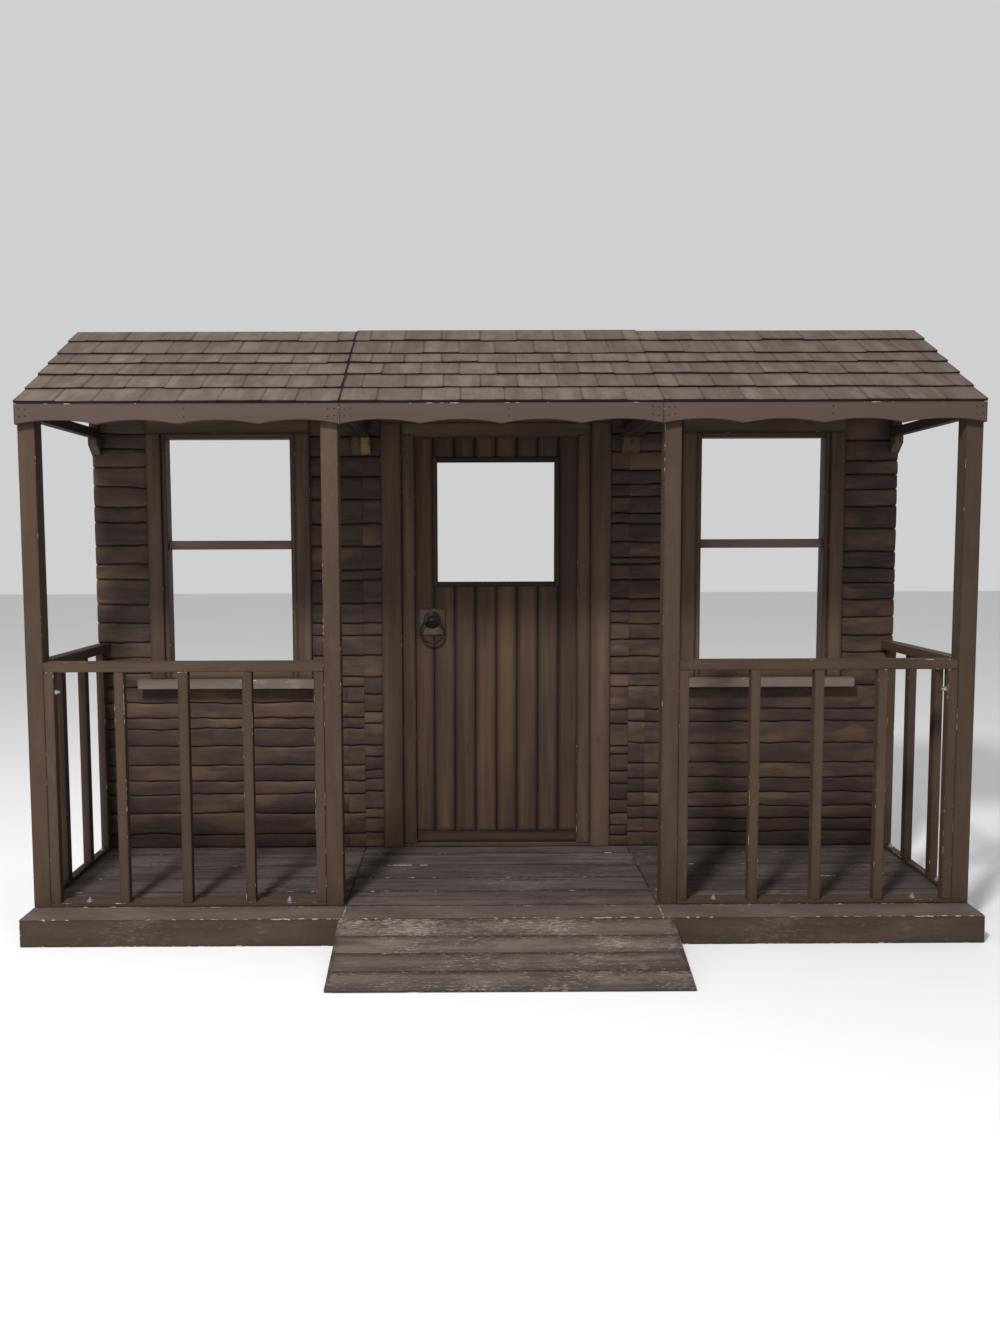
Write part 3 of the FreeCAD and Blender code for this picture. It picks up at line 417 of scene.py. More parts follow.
SHINGLE = timber("shingle_stain", (0.11, 0.08, 0.064), (0.054, 0.038, 0.031), (0.148, 0.109, 0.083),
                 shade=0.9, shade_width=0.0075, glow_amount=0.6, streak=0.42, vary=0.09, rough=0.7,
                 flow=0.5)
# Painted shadow: the near-black colour of each shingle's foot, which the dark bed under the shingles shares.
BUTT_SHADOW = timber("shingle_butt_painted_shadow", (0.019, 0.013, 0.011), (0.011, 0.008, 0.007), (0.03, 0.021, 0.017),
              glow_amount=0.3, vary=0.3, rough=0.75)
LOG = timber("log_stain", (0.068, 0.043, 0.034), (0.027, 0.017, 0.016), (0.128, 0.073, 0.037), shade=0.72,
             shade_width=0.0085, glow_amount=0.55, streak=0.65, patch=0.6, vary=0.2, relief=0.0014, dust=0.1,
             dust_and_top_light_colour=(0.16, 0.13, 0.11), knots=0.3, flow=0.42, ends=False)
# Painted shade: the near-black face of the sheet behind the logs, seen deep in the gaps between them.
LOG_GAP_SHADE = timber("log_gap_painted_shade", (0.012, 0.008, 0.007), (0.006, 0.004, 0.004), (0.016, 0.01, 0.009),
                 glow_amount=0.1, vary=0.1)
DOOR = timber("door_stain", (0.064, 0.036, 0.025), (0.028, 0.016, 0.013), (0.11, 0.061, 0.03), shade=0.85,
              shade_width=0.02, glow_amount=0.6, streak=0.5, patch=0.3, vary=0.07, knots=0.25, flow=0.06)
DECK = timber("deck_paint", (0.09, 0.067, 0.061), (0.036, 0.026, 0.024), (0.115, 0.09, 0.082), chips=0.25,
              shade=0.6, shade_width=0.008, glow_amount=0.4, streak=0.85, patch=0.4, vary=0.18, dust=0.35,
              dust_and_top_light_colour=(0.22, 0.19, 0.175), relief=0.0012, flow=0.3, grit=110.0)
# Its heavy chips reach far from the edges: worn paint, and also a painted highlight along the top front
# edge. Its faces that point up take painted light from above.
EDGE = timber("porch_edge_paint", (0.054, 0.036, 0.026), (0.032, 0.021, 0.015), (0.077, 0.053, 0.038),
              chips=1.15, shade=0.4, shade_width=0.012, glow_amount=0.4, streak=0.35, vary=0.06, dust=0.25,
              dust_and_top_light_colour=(0.21, 0.172, 0.15), flow=0.4, grit=90.0, reach=38.0, chip=(0.3, 0.26, 0.23),
              top_light=0.34)
RAMP = timber("ramp_paint", (0.124, 0.091, 0.078), (0.053, 0.038, 0.033), (0.17, 0.13, 0.108), chips=0.5,
              shade=0.72, shade_width=0.022, glow_amount=0.6, streak=0.9, patch=0.3, vary=0.12, dust=0.75,
              dust_and_top_light_colour=(0.31, 0.265, 0.24), relief=0.0014, flow=0.35, grit=135.0)
SILL = timber("sill_paint", (0.15, 0.117, 0.1), (0.097, 0.071, 0.06), (0.195, 0.155, 0.134), chips=0.5,
              shade=0.5, shade_width=0.006, glow_amount=0.4, streak=0.4, vary=0.1, dust=0.3, flow=0.3)
BAR = timber("glazing_bar_stain", (0.165, 0.103, 0.078), (0.09, 0.055, 0.042), (0.21, 0.135, 0.1), shade=0.4,
             shade_width=0.006, glow_amount=0.4, streak=0.5, patch=0.3, vary=0.08, flow=0.2)
RAW = timber("raw_pine", (0.56, 0.385, 0.215), (0.38, 0.23, 0.11), (0.68, 0.5, 0.31), shade=0.25,
             shade_width=0.006, glow_amount=0.4, streak=0.7, patch=0.3, vary=0.2, rough=0.7, knots=0.9,
             flow=0.2)
PLY = timber("bare_ply", (0.5, 0.36, 0.215), (0.36, 0.24, 0.13), (0.6, 0.45, 0.28), shade=0.3,
             shade_width=0.01, glow_amount=0.5, streak=0.6, patch=0.4, vary=0.12, rough=0.72, knots=0.7,
             flow=0.3)
# Painted shade: the canopy's rafters and ply sheet, darkened as they lie under the roof.
SOFFIT_SHADE = timber("soffit_painted_shade", (0.043, 0.029, 0.022), (0.025, 0.017, 0.013), (0.059, 0.041, 0.029),
                shade=0.5, shade_width=0.01, glow_amount=0.4, streak=0.6, patch=0.4, vary=0.1, rough=0.72,
                flow=0.3)
OLD = timber("aged_pine", (0.24, 0.152, 0.068), (0.128, 0.072, 0.032), (0.32, 0.216, 0.104), shade=0.7,
             shade_width=0.014, glow_amount=0.4, streak=0.6, patch=0.4, vary=0.1, flow=0.3)
IRON, RING_IRON, ZINC = iron("black_iron"), iron("black_iron_painted_highlight", True), zinc("zinc_plate")


# ---- log cladding ----
# Heights in millimetres of the joints between boards, bottom to top, for each stretch of wall.
LOW_LEFT = (116, 183, 290, 388, 456, 535, 634, 722, 775, 852, 930)
LOW_RIGHT = (116, 190, 255, 318, 388, 464, 540, 640, 750, 812, 930)
STRIP_LEFT = (930, 1004, 1078, 1155, 1250, 1350, 1470, 1547, 1636, 1750, 1828, 1925, 2020, 2110, 2184, 2262)
STRIP_RIGHT = (930, 1012, 1096, 1180, 1271, 1360, 1444, 1516, 1597, 1710, 1818, 1904, 1975, 2045, 2140, 2262)
INNER_LEFT = (116, 190, 263, 310, 400, 465, 508, 573, 636, 745, 804, 895, 981, 1088, 1185, 1250, 1345, 1460,
              1512, 1630, 1740, 1860, 1972, 2070, 2165, 2262, 2340)
INNER_RIGHT = (116, 174, 221, 283, 352, 434, 504, 582, 620, 733, 806, 923, 990, 1080, 1163, 1240, 1300, 1368,
               1461, 1539, 1574, 1648, 1735, 1790, 1870, 1929, 2001, 2090, 2180, 2262, 2340)
TOP = (2262, 2350, 2448, 2554)
BUTT_JOINT_X = 0.742          # where the low boards of a side wall meet end to end
INNER_WALL_REACH = 1.0        # a stretch that ends nearer the middle than this is beside the door
SIDE_WALL_WIDTH = 1.0         # a stretch wider than this is the wall under a window
TOP_WALL_HEIGHT = 2.5         # a stretch that reaches above this is the one over the openings
LEAST_LOG = 0.03              # no joint is nearer than this to the end of a stretch
SHEET = 0.009                 # the sheet behind the logs
SHEET_SKIN = 0.002            # its bare back face
# Places across a board's face, from -1 at its low joint to 1 at its high one.
SECTION = (-1.0, -0.96, -0.9, -0.8, -0.5, 0.0, 0.5, 0.8, 0.9, 0.96, 1.0)


def joint_wave(x, z):
    """How far the hand-cut joint near height z wanders at x."""
    slow = noise.noise(Vector((x * 4.2, z * 9.1, 2.0)))
    quick = noise.noise(Vector((x * 17.0, z * 11.0, 7.0)))
    return 0.0085 * slow + 0.0045 * quick


def slab_faces(columns, rows):
    """Faces of a closed slab: a front grid of columns by rows, then two back points in each column.
    Each column has its front faces, low face, high face and back face, and the two ends come last."""
    faces, back = [], (columns + 1) * rows
    for i in range(columns):
        a, b = i * rows, back + 2 * i
        faces += [[a + j, a + j + rows, a + j + rows + 1, a + j + 1] for j in range(rows - 1)]
        faces.append([a, b, b + 2, a + rows])
        faces.append([a + rows - 1, a + 2 * rows - 1, b + 3, b + 1])
        faces.append([b, b + 1, b + 3, b + 2])
    for i, flip in ((0, False), (columns, True)):
        ring = [i * rows + j for j in range(rows)] + [back + 2 * i + 1, back + 2 * i]
        faces.append(ring[::-1] if flip else ring)
    return faces


def low_faces(columns, rows):
    """The numbers of the low faces in what slab_faces gives."""
    return [i * (rows + 2) + rows - 1 for i in range(columns)]


def log_region(build, x0, x1, z0, z1, levels, face, back, cuts=()):
    """Boards of uneven height between two heights. cuts are the places where boards butt end to end."""
    levels = [z / 1000 for z in levels]
    inner = [z for z in levels if z0 + LEAST_LOG < z < z1 - LEAST_LOG]
    levels = [z0] + inner + [z1]
    spans = [x0] + [c for c in cuts if x0 < c < x1] + [x1]
    for low, high in zip(levels[:-1], levels[1:]):
        row = build.rng.uniform(0.0, 0.8)
        for i, (a, b) in enumerate(zip(spans[:-1], spans[1:])):
            tone = row + 0.07 * i
            log_board(build, a + 0.0003, b - 0.0003, low, high, low > z0, high < z1, face, back, tone)


def log_board(build, x0, x1, low, high, wander_low, wander_high, face, back, tone):
    """One board with a rounded, hewn face. Its low and high joints wander where they are told to."""
    depth = face - 0.0022 * build.rng.random()
    seed, tip = build.rng.uniform(0, 300), build.rng.uniform(-0.0016, 0.0016)
    count = max(4, int((x1 - x0) / 0.022))
    points, rows = [], len(SECTION)
    for i in range(count + 1):
        x = x0 + (x1 - x0) * i / count
        gap = 0.0010 + 0.0012 * noise.noise(Vector((x * 12.0, low * 40.0, 3.0)))
        bottom = low + (joint_wave(x, low) if wander_low else 0.0) + gap
        top = high + (joint_wave(x, high) if wander_high else 0.0) - gap
        for v in SECTION:
            z = (top + bottom) / 2 + v * (top - bottom) / 2
            round_off = 0.008 * abs(v) ** 12 + 0.0022 * v * v
            hewn = 0.0018 * noise.noise(Vector((x * 13.0, z * 26.0, seed))) + tip * v
            end = 0.0025 * max(0.0, 1 - min(x - x0, x1 - x) / 0.004)
            points.append((x, max(depth - 0.0002, depth + round_off + hewn + end + 0.001), z))
    for i in range(count + 1):
        low_p, high_p = points[i * rows], points[i * rows + rows - 1]
        points += [(low_p[0], back, low_p[2]), (high_p[0], back, high_p[2])]
    build.add(points, slab_faces(count, rows), 0, tone)


def cladding(side, seed):
    """The log boards of one wall, stretch by stretch round its openings, on their sheet."""
    node = "cladding_" + side
    build, (lo, hi) = Build(seed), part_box(node)
    face, sheet, skin = lo.y + 0.0005, hi.y - SHEET, hi.y - SHEET_SKIN
    for lo_r, hi_r in boxes(node):
        x0, x1, z0, z1 = lo_r.x, hi_r.x, lo_r.z, hi_r.z
        cuts = ()
        if z1 > TOP_WALL_HEIGHT:
            levels = TOP
        elif side == "centre" or max(abs(x0), abs(x1)) < INNER_WALL_REACH:
            levels = INNER_LEFT if x0 < 0 else INNER_RIGHT
        elif x1 - x0 > SIDE_WALL_WIDTH:
            levels = LOW_LEFT if side == "left" else LOW_RIGHT
            cuts = (-BUTT_JOINT_X, BUTT_JOINT_X)
        else:
            levels = STRIP_LEFT if side == "left" else STRIP_RIGHT
        log_region(build, x0, x1, z0, z1, levels, face, sheet + 0.001, cuts)
        # The sheet's face takes painted shade for the gaps between logs; its back is bare ply.
        build.plank(Vector((x0, sheet, z0)), Vector((x1, skin, z1)), 0.0, tone=0.5, grain=0, kind=1)
        build.plank(Vector((x0, skin, z0)), hi_r, 0.0, tone=0.4, grain=2, kind=2)
    build.piece("logs_" + side, "porch", "log_cladding", [LOG, LOG_GAP_SHADE, PLY], [node])


# ---- roof ----
SLOPE = math.radians(30.6)
COURSES = (0, 138, 284, 420, 536, 696)   # millimetres up the slope to the foot of each course
SKIN = 0.014                  # shingles and their bed, measured square to the slope
BED = 0.0112, 0.0138          # depths of the bed's top and underside below the roof's surface
ACROSS = 8                    # shingles in one course of a module
SHIFT = 0.016                 # how far a joint between two shingles stands from an even spacing
JOINT = 0.0007                # half the usual gap between two shingles
SEAM = 0.003, 0.006           # least and most set-back of a shingle at the left module's seam
SLIVER = 0.02                 # a narrower shingle is left out
LAG = 0.011                   # most that a shingle's foot stands back from its course
SKEW = 0.005                  # most that its foot is out of square across its width
SAG = 0.0032                  # most that its foot lies below the roof's surface
OVERLAP = 0.012               # how far it runs in under the next course
HEAD_DEPTH = 0.0105           # depth of its face below the roof's surface at its head
BACK_DEPTH = 0.0125           # depth of its underside
EASING = 0.0012               # easing of its foot's upper edge


class Roof:
    """Places in one canopy module: x across, s up the slope from the eaves, n out from the surface."""

    def __init__(self, side):
        self.lo, self.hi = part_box("shingles_" + side)
        self.eaves_z = self.lo.z + SKIN * math.cos(SLOPE)
        self.length = (self.hi.y - self.lo.y - SKIN * math.sin(SLOPE)) / math.cos(SLOPE) - 0.0002

    def at(self, x, s, n):
        return (x, self.lo.y + s * math.cos(SLOPE) - n * math.sin(SLOPE),
                self.eaves_z + s * math.sin(SLOPE) + n * math.cos(SLOPE))

    def up(self, point):
        """How far up the slope a point lies."""
        return (point.y - self.lo.y) * math.cos(SLOPE) + (point.z - self.eaves_z) * math.sin(SLOPE)


def shingles(side, seed):
    """Courses of separate shingles of uneven width, foot and lift, on a dark bed, with painted shadow on
    their feet.
    """
    roof, build, rng = Roof(side), Build(seed), random.Random(seed)
    left, right = roof.lo.x, roof.hi.x
    top, underside = BED
    corners = ((0.0005, -underside), (roof.length, -underside), (roof.length, -top), (0.0005, -top))
    build.extrude([roof.at(left, s, n)[1:] for s, n in corners], 0, left, right, 0.4, 0.0, tone=0.1, kind=1)
    width = (right - left) / ACROSS
    feet = [c / 1000 for c in COURSES] + [roof.length]
    for row, (start, end) in enumerate(zip(feet[:-1], feet[1:])):
        joints = [left + (i - 0.5 * (row % 2)) * width for i in range(ACROSS + 1 + row % 2)]
        joints = [j + rng.uniform(-SHIFT, SHIFT) if left < j < right - 0.01 else j for j in joints]
        edges = sorted(min(right, max(left, j)) for j in joints)
        for a, b in zip(edges[:-1], edges[1:]):
            if b - a < SLIVER:
                continue
            a = a + JOINT if a > left or side != "centre" else a + rng.uniform(*SEAM)
            b = b - JOINT if b < right or side != "left" else b - rng.uniform(*SEAM)
            shingle(build, roof, rng, row, seed, a, b, start, end)
    build.piece("shingles_fitted_" + side, "porch", "shingle_timber", [SHINGLE, BUTT_SHADOW], ["shingles_" + side])


def shingle(build, roof, rng, row, seed, a, b, start, end):
    """One shingle from a to b. Its foot hangs unevenly, except in the first course.
    Its place is measured along the slope, so that its shading follows its own edges."""
    lag = rng.uniform(0.0, LAG) if row else 0.001
    skew = rng.uniform(-SKEW, SKEW) if row else 0.0
    lift = rng.uniform(-SAG, 0.0)
    top = min(roof.length, end + OVERLAP)
    columns, rows, points, backs = 6, (0.0, EASING, 0.02, 0.5, 1.0), [], []
    for i in range(columns + 1):
        t = i / columns
        x = a + (b - a) * t
        ragged = 0.0009 * noise.noise(Vector((x * 60.0, row * 5.0, seed)))
        even_foot = start + lag + skew * (t - 0.5)
        foot = even_foot + ragged
        cup = 0.0012 * (1 - (2 * t - 1) ** 2)
        for r in rows:
            s = foot + (top - foot) * r if r != EASING else foot + EASING
            thick = lift * (1 - r) - HEAD_DEPTH * r
            ease = EASING if r == 0.0 else 0.0
            points.append(roof.at(x, s, min(-0.0001, thick - ease - cup * (1 - r))))
        backs += [roof.at(x, even_foot, -BACK_DEPTH), roof.at(x, top, -BACK_DEPTH)]
    faces, first = slab_faces(columns, len(rows)), len(build.points)
    build.add(points + backs, faces, 1)
    # Each shingle's foot takes the dark material: painted shadow under the course above.
    for face in low_faces(columns, len(rows)):
        build.kind[face - len(faces)] = 1
    for k in range(first, len(build.points)):
        p = build.points[k]
        build.place[k] = [roof.up(p) - (start + lag + end) / 2, 0.0, p.x - (a + b) / 2]
        build.half[k] = [(end - start - lag) / 2, 0.006, (b - a) / 2]


def fascia(side, seed):
    """Scalloped board, its lower edge a little uneven."""
    node, waves, count, scallop, end = "fascia_" + side, 4, 96, 0.018, 0.0005
    lo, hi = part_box(node)
    build, outline = Build(seed), [(hi.z, lo.x + end), (hi.z, hi.x - end)]
    for i in range(count, -1, -1):
        x = lo.x + (hi.x - lo.x) * i / count
        t = (x - lo.x) / (hi.x - lo.x) * waves
        rise = scallop * (1 - (2 * (t - math.floor(min(t, waves - 1e-6))) - 1) ** 2)
        rough = 0.0009 * noise.noise(Vector((x * 40.0, seed, 0.0)))
        outline.append((lo.z + max(0.0, rise + rough), min(hi.x - end, max(lo.x + end, x))))
    build.extrude(outline, 1, lo.y, hi.y, 0.02, 0.0, 0.0014, grain=0)
    build.piece("fascia_board_" + side, "porch", "fascia_timber", FASCIA, [node])


def nails():
    """Round nail heads near the ends and the middle of each fascia board."""
    build = Build(77)
    for side in ("left", "centre", "right"):
        lo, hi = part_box("fascia_" + side)
        for x in (lo.x + 0.022, lo.x + 0.047, hi.x - 0.02, hi.x - 0.046, (lo.x + hi.x) / 2 + 0.03):
            for z in (hi.z - 0.02, hi.z - 0.05):
                nail_head(build, Vector((x, lo.y, z + build.rng.uniform(-0.004, 0.004))), 0.0034)
    build.piece("fascia_nails", "porch", "black_iron", IRON)


def nail_head(build, centre, radius):
    """A low domed head that faces the front, its rim sunk in the board."""
    points, faces, n = [], [], 10
    for r, out in ((1.0, -0.001), (0.92, 0.0006), (0.5, 0.0011)):
        for i in range(n):
            turn = 2 * math.pi * i / n
            points.append((centre.x + r * radius * math.cos(turn), centre.y - out,
                           centre.z + r * radius * math.sin(turn)))
    for base in (0, n):
        for i in range(n):
            j = (i + 1) % n
            faces.append([base + i, base + j, base + n + j, base + n + i])
    faces += [[2 * n + i for i in range(n)], list(range(n))[::-1]]
    build.add(points, faces, 0)


# ---- deck and ramp ----
RIB_PITCH = 0.0105
PLAIN = 0.008                 # the ribs start this far from a board's edges
ARRIS = 0.0015                # easing of a ribbed board's upper edges
RAMP_LIP = 0.012              # height of the ramp's front edge
RAMP_BOARD = 0.018            # thickness of its boards


def ribbed(y0, y1, z_at, bottom, depth):
    """Profile of a board with fine ribs across its top, from y0 at the front to y1."""
    top, y = [(y0, z_at(y0) - ARRIS), (y0 + ARRIS, z_at(y0 + ARRIS))], y0 + PLAIN
    while y + RIB_PITCH < y1 - PLAIN:
        for share, drop in ((0.0, 0.0), (0.58, 0.0), (0.7, depth), (0.9, depth)):
            at = y + share * RIB_PITCH
            top.append((at, z_at(at) - drop))
        y += RIB_PITCH
    top += [(y, z_at(y)), (y1 - ARRIS, z_at(y1 - ARRIS)), (y1, z_at(y1) - ARRIS)]
    return top + [(y1, bottom(y1)), (y0, bottom(y0))]


def deck(side, seed):
    """Ribbed boards, and the porch's frame. Its front board is one piece with the first deck board."""
    node, base = "deck_boards_" + side, "base_frame_" + side
    found = sorted(boxes(node), key=lambda b: b[0].y)
    build = Build(seed)
    for lo, hi in found[1:]:
        profile = ribbed(lo.y, hi.y, lambda y: hi.z, lambda y: lo.z, 0.0013)
        build.extrude(profile, 0, lo.x, hi.x, 0.07, 0.0007)
    build.piece("deck_" + side, "porch", "deck_timber", DECK, [node])
    edge, (lo, hi), frame_boxes = Build(seed + 40), found[0], boxes(base)
    front = min(frame_boxes, key=lambda b: b[0].y)
    low, back = front[0].z, front[1].y
    corners = [(lo.y, low), (back, low), (back, lo.z), (hi.y, lo.z), (hi.y, hi.z), (lo.y, hi.z)]
    profile = eased(corners, [0.002, 0.001, 0.0, 0.001, 0.0025, 0.005])
    edge.extrude(profile, 0, front[0].x, front[1].x, 0.05, 0.0012, tone=0.5)
    for b_lo, b_hi in frame_boxes:
        if b_lo.y > front[0].y + 0.01:
            edge.plank(b_lo, b_hi, 0.0025)
    edge.piece("porch_base_" + side, "porch", "deck_timber", EDGE, [base])


def ramp():
    """Ribbed boards on a slope, over wedges that keep their CAD outline."""
    all_lo, all_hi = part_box("ramp_boards")
    rise = (all_hi.z - RAMP_LIP) / (all_hi.y - all_lo.y)
    drop = RAMP_BOARD * math.hypot(1, rise)

    def top(y):
        return RAMP_LIP + rise * (y - all_lo.y)

    def underside(y):
        return max(0.0005, top(y) - drop)

    build = Build(91)
    for lo, hi in sorted(boxes("ramp_boards"), key=lambda b: b[0].y):
        profile = ribbed(lo.y + 0.0002, hi.y - 0.0002, top, underside, 0.0012)
        build.extrude(profile, 0, all_lo.x, all_hi.x, 0.06, 0.0009)
    build.piece("ramp_ribbed_boards", "ramp", "ramp_timber", RAMP, ["ramp_boards"])
    build = Build(92)
    for s in solids("ramp_stringers"):
        build.solid(s, 1)
    build.piece("ramp_wedges", "ramp", "ramp_timber", RAMP, ["ramp_stringers"], bevel=0.002)


# ---- timbers that keep their CAD outline ----
MOST_EASED = 0.0066           # more than this inside its box, a corner belongs to a shaped timber


def squared(triangles, lo, hi):
    """Whether a solid is a plain squared timber, eased or not."""
    points = [p for tri in triangles for p in tri]
    return all(min(p[i] - lo[i], hi[i] - p[i]) < MOST_EASED for p in points for i in range(3))


def timbers(name, nodes, body, slot, material, seed, radius=0.003, grain=None, bevel=0.0025,
            skip=lambda lo, hi: False, tone=None):
    """New timbers in place of a node's solids: squared ones are worn planks, others keep their outline."""
    planks, shaped = Build(seed), Build(seed + 500)
    for node in nodes:
        for triangles in solids(node):
            lo, hi = extent(triangles)
            if skip(lo, hi):
                continue
            if squared(triangles, lo, hi):
                planks.plank(lo, hi, radius, 0.09, 0.0006, tone, grain)
            else:
                size = [h - l for l, h in zip(lo, hi)]
                shaped.solid(triangles, size.index(max(size)) if grain is None else grain, tone)
    if planks.points:
        planks.piece(name, body, slot, material, nodes)
    if shaped.points:
        suffix = "_shaped" if planks.points else ""
        shaped.piece(name + suffix, body, slot, material, nodes, bevel=bevel)


DOOR_BOARDS = 8
BEAD_REACH = 0.023            # from the light's opening to the outer edge of its bead
DOOR_GROOVE = 0.0058          # easing of a whole board's front edges, which makes the V grooves


def door():
    """Grooved boards from the leaf's foot to its head, cut away round the light."""
    build, (lo, hi) = Build(31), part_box("door_boards")
    bead_lo, bead_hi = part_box("door_window_bead")
    half = (bead_hi.x - bead_lo.x) / 2 - BEAD_REACH
    z0, z1 = bead_lo.z + BEAD_REACH, bead_hi.z - BEAD_REACH
    pitch = (hi.x - lo.x) / DOOR_BOARDS
    for i in range(DOOR_BOARDS):
        a, b = lo.x + i * pitch, lo.x + (i + 1) * pitch
        tone = build.rng.random()
        spans = [(a, b, lo.z, hi.z)]
        if b > -half and a < half:
            spans = [(a, b, lo.z, z0), (a, b, z1, hi.z)]
            if a < -half:
                spans.append((a, -half, z0, z1))
            if b > half:
                spans.append((half, b, z0, z1))
        for x0, x1, low, high in spans:
            groove = DOOR_GROOVE if x1 - x0 > 0.05 else 0.001
            build.plank(Vector((x0, lo.y, low)), Vector((x1, hi.y, high)), 0.0008, 0.09, 0.0, tone, 2,
                        front=groove)
    build.piece("door_planks", "door", "door_timber", DOOR, ["door_boards"])


def ring():
    """Iron ring drawn in and swelled out along its length like a string of beads."""
    lo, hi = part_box("handle_ring")
    centre = (lo + hi) / 2
    tube = (hi.y - lo.y) / 2
    radius = (hi.x - lo.x) / 2 - tube
    build, around, across, beads = Build(61), 440, 14, 22
    points, faces, bead_highlights = [], [], []
    for i in range(around):
        turn = 2 * math.pi * i / around
        swell = abs(math.sin(beads * turn / 2)) ** 0.7
        thick = tube * (0.58 + 0.41 * swell)
        for j in range(across):
            spin = 2 * math.pi * j / across + 0.15 * math.sin(beads * turn)
            r = radius + thick * math.cos(spin)
            points.append((centre.x + r * math.sin(turn), centre.y + thick * math.sin(spin),
                           centre.z + r * math.cos(turn)))
            # Painted highlight: the tone is high on each bead's crest, a little off its outer side.
            bead_highlights.append(swell * max(0.0, math.cos(spin - 0.6)) if math.cos(spin) > -0.2 else 0.0)
    for i in range(around):
        for j in range(across):
            k, m = (i + 1) % around, (j + 1) % across
            faces.append([i * across + j, i * across + m, k * across + m, k * across + j])
    build.add(points, faces, 0)
    build.tone = bead_highlights
    build.piece("handle_beaded_ring", "ring", "black_iron", RING_IRON, ["handle_ring"])


def carried(node, material, width):
    """A CAD node that keeps its own shape, with its edges eased by modifiers."""
    obj = NODES[node]
    dress(obj, material)
    weld = obj.modifiers.new("weld", "WELD")
    weld.merge_threshold = 0.00002
    cut = obj.modifiers.new("eased", "BEVEL")
    cut.width, cut.segments, cut.limit_method, cut.angle_limit = width, 2, "ANGLE", 0.6
    even = obj.modifiers.new("even", "WEIGHTED_NORMAL")
    even.keep_sharp = True


# For each kind of timber: piece, CAD node, material slot, material, first seed and what differs.
MODULE_TIMBERS = (
    ("wall_studs", "wall_frame", "raw_timber", RAW, 180, {"radius": 0.0022}),
    # The canopy's timbers and the sheet below them take painted shade.
    ("roof_timbers", "roof_frame", "trim_timber", SOFFIT_SHADE, 200, {"radius": 0.0025}),
    ("roof_sheet", "roof_sheathing", "ply_sheet", SOFFIT_SHADE, 220, {"grain": 0, "bevel": 0.001}))
SIDE_TIMBERS = (
    ("window_frame", "window_lining", "trim_timber", TRIM, 240, {"radius": 0.0022}),
    ("window_casing", "window_trim", "trim_timber", TRIM, 250, {}),
    ("window_glazing_bar", "window_bar", "trim_timber", BAR, 260, {"radius": 0.004}),
    ("window_sill_board", "window_sill", "trim_timber", SILL, 270, {"bevel": 0.0015}),
    ("front_panel", "front_rail", "post_timber", POST, 280, {}),
    ("front_spindles", "front_balusters", "post_timber", POST, 290, {}),
    ("side_panel", "side_rail", "post_timber", POST, 300, {}),
    ("side_spindles", "side_balusters", "post_timber", POST, 310, {}),
    ("post_outside", "post_outer", "post_timber", POST, 320, {"radius": 0.0038}),
    ("post_inside", "post_inner", "post_timber", POST, 330, {"radius": 0.0038}))


def fit_timbers(rows, number, side):
    """One module's timbers of each kind in rows."""
    for name, node, slot, material, seed, settings in rows:
        timbers(name + "_" + side, [node + "_" + side], "porch", slot, material, seed + number, **settings)


BARE_CORBEL = -0.66, -0.5     # the one corbel that was never painted, left of the door, lies between these


def is_bare_corbel(lo, _hi):
    return BARE_CORBEL[0] < lo.x < BARE_CORBEL[1]


for number, side in enumerate(("left", "centre", "right")):
    cladding(side, 100 + number)
    shingles(side, 120 + number)
    fascia(side, 140 + number)
    deck(side, 160 + number)
    fit_timbers(MODULE_TIMBERS, number, side)
for number, side in enumerate(("left", "right")):
    fit_timbers(SIDE_TIMBERS, number, side)

timbers("door_jambs", ["door_frame"], "porch", "trim_timber", TRIM, 340)
timbers("door_sill_strip", ["door_threshold"], "porch", "trim_timber", TRIM, 341, 0.004)
timbers("door_casing_boards", ["door_casing"], "porch", "trim_timber", TRIM, 342)
timbers("corbels", ["wall_corbels"], "porch", "trim_timber", TRIM, 343, skip=is_bare_corbel)
timbers("corbel_bare", ["wall_corbels"], "porch", "trim_timber", OLD, 344,
        skip=lambda lo, hi: not is_bare_corbel(lo, hi), tone=0.35)
door()
timbers("door_foot_rail", ["door_bottom_rail"], "door", "door_timber", DOOR, 350)
timbers("door_back_ledges", ["door_ledges"], "door", "door_timber", DOOR, 351)
timbers("door_light_bead", ["door_window_bead"], "door", "door_timber", DOOR, 352, 0.0025)
timbers("handle_backing", ["handle_pad"], "door", "door_timber", TRIM, 353, 0.004)
ring()
nails()
ramp()
carried("handle_boss", IRON, 0.0016)
carried("door_hinge_straps", IRON, 0.0006)
carried("door_hinge_plates", IRON, 0.0006)
carried("coach_bolts", ZINC, 0.0005)


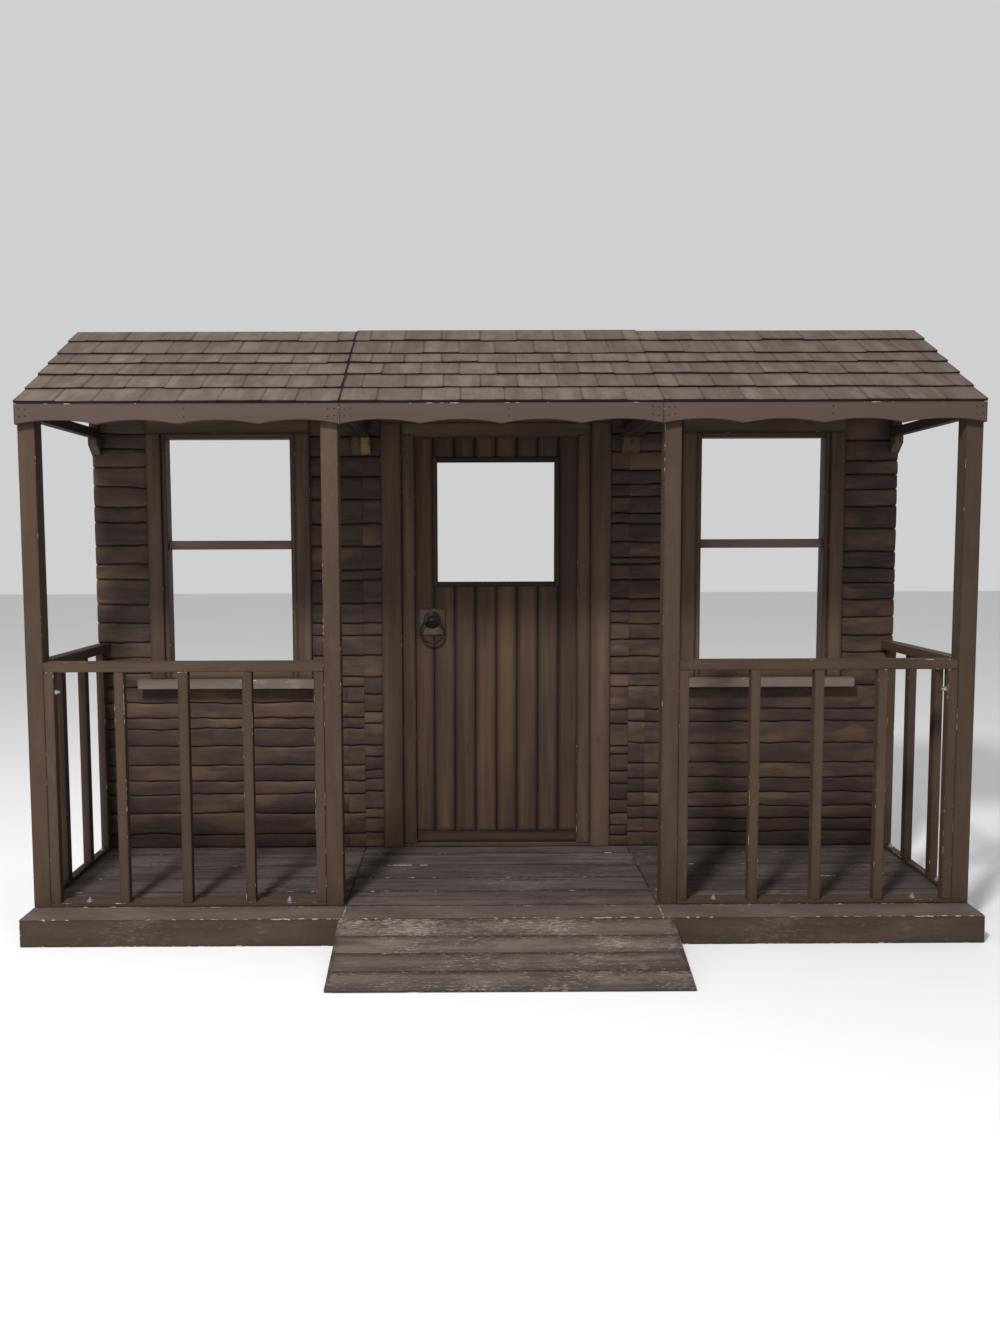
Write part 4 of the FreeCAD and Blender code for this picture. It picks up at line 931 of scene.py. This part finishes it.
# ---- floor, light and camera ----
def floor():
    """A wide plain floor under the object."""
    size, steps = 30.0, 12
    points, faces = [], []
    for i in range(steps + 1):
        for j in range(steps + 1):
            points.append((-size + 2 * size * i / steps, -size + 2 * size * j / steps, 0.0))
    for i in range(steps):
        for j in range(steps):
            a = i * (steps + 1) + j
            faces.append([a, a + steps + 1, a + steps + 2, a + 1])
    mesh = bpy.data.meshes.new("studio_floor")
    mesh.from_pydata(points, [], faces)
    obj = bpy.data.objects.new("studio_floor", mesh)
    bpy.context.scene.collection.objects.link(obj)
    dress(obj, floor_paint("studio_floor_paint"))


def area_light(name, place, target, size, power):
    """A round soft light that faces its target."""
    data = bpy.data.lights.new(name, "AREA")
    data.shape, data.size, data.energy = "DISK", size, power
    obj = bpy.data.objects.new(name, data)
    obj.location = place
    obj.rotation_euler = (Vector(target) - Vector(place)).to_track_quat("-Z", "Y").to_euler()
    bpy.context.scene.collection.objects.link(obj)


def camera():
    """Stands in front of the porch, a little left of its middle, looking slightly down."""
    yaw, pitch, roll = (math.radians(a) for a in (0.254, -4.319, -0.189))
    forward = Vector((math.sin(yaw) * math.cos(pitch), math.cos(yaw) * math.cos(pitch), math.sin(pitch)))
    level = Vector((math.cos(yaw), -math.sin(yaw), 0))
    raised = level.cross(forward)
    right = math.cos(roll) * level + math.sin(roll) * raised
    up = math.cos(roll) * raised - math.sin(roll) * level
    data = bpy.data.cameras.new("camera")
    data.sensor_fit, data.sensor_height, data.sensor_width = "AUTO", 36.0, 36.0
    data.lens, data.shift_x, data.shift_y = 27.6063, 0.019385, -0.034014
    obj = bpy.data.objects.new("camera", data)
    x, y, z = -0.1324, -4.3836, 1.6399
    obj.matrix_world = Matrix(((right.x, up.x, -forward.x, x), (right.y, up.y, -forward.y, y),
                               (right.z, up.z, -forward.z, z), (0, 0, 0, 1)))
    bpy.context.scene.collection.objects.link(obj)
    bpy.context.scene.camera = obj


floor()
world = bpy.data.worlds.new("studio")
world.use_nodes = True
world.node_tree.nodes["Background"].inputs["Color"].default_value = (0.985, 0.99, 1.0, 1.0)
world.node_tree.nodes["Background"].inputs["Strength"].default_value = 0.64
bpy.context.scene.world = world
area_light("key", (-2.2, -5.5, 7.5), (0.0, 0.2, 1.2), 1.15, 880)
area_light("left_fill", (-5.5, -2.6, 2.4), (0.0, 0.2, 1.2), 2.2, 45)
bpy.context.scene.view_settings.view_transform = "Standard"
camera()
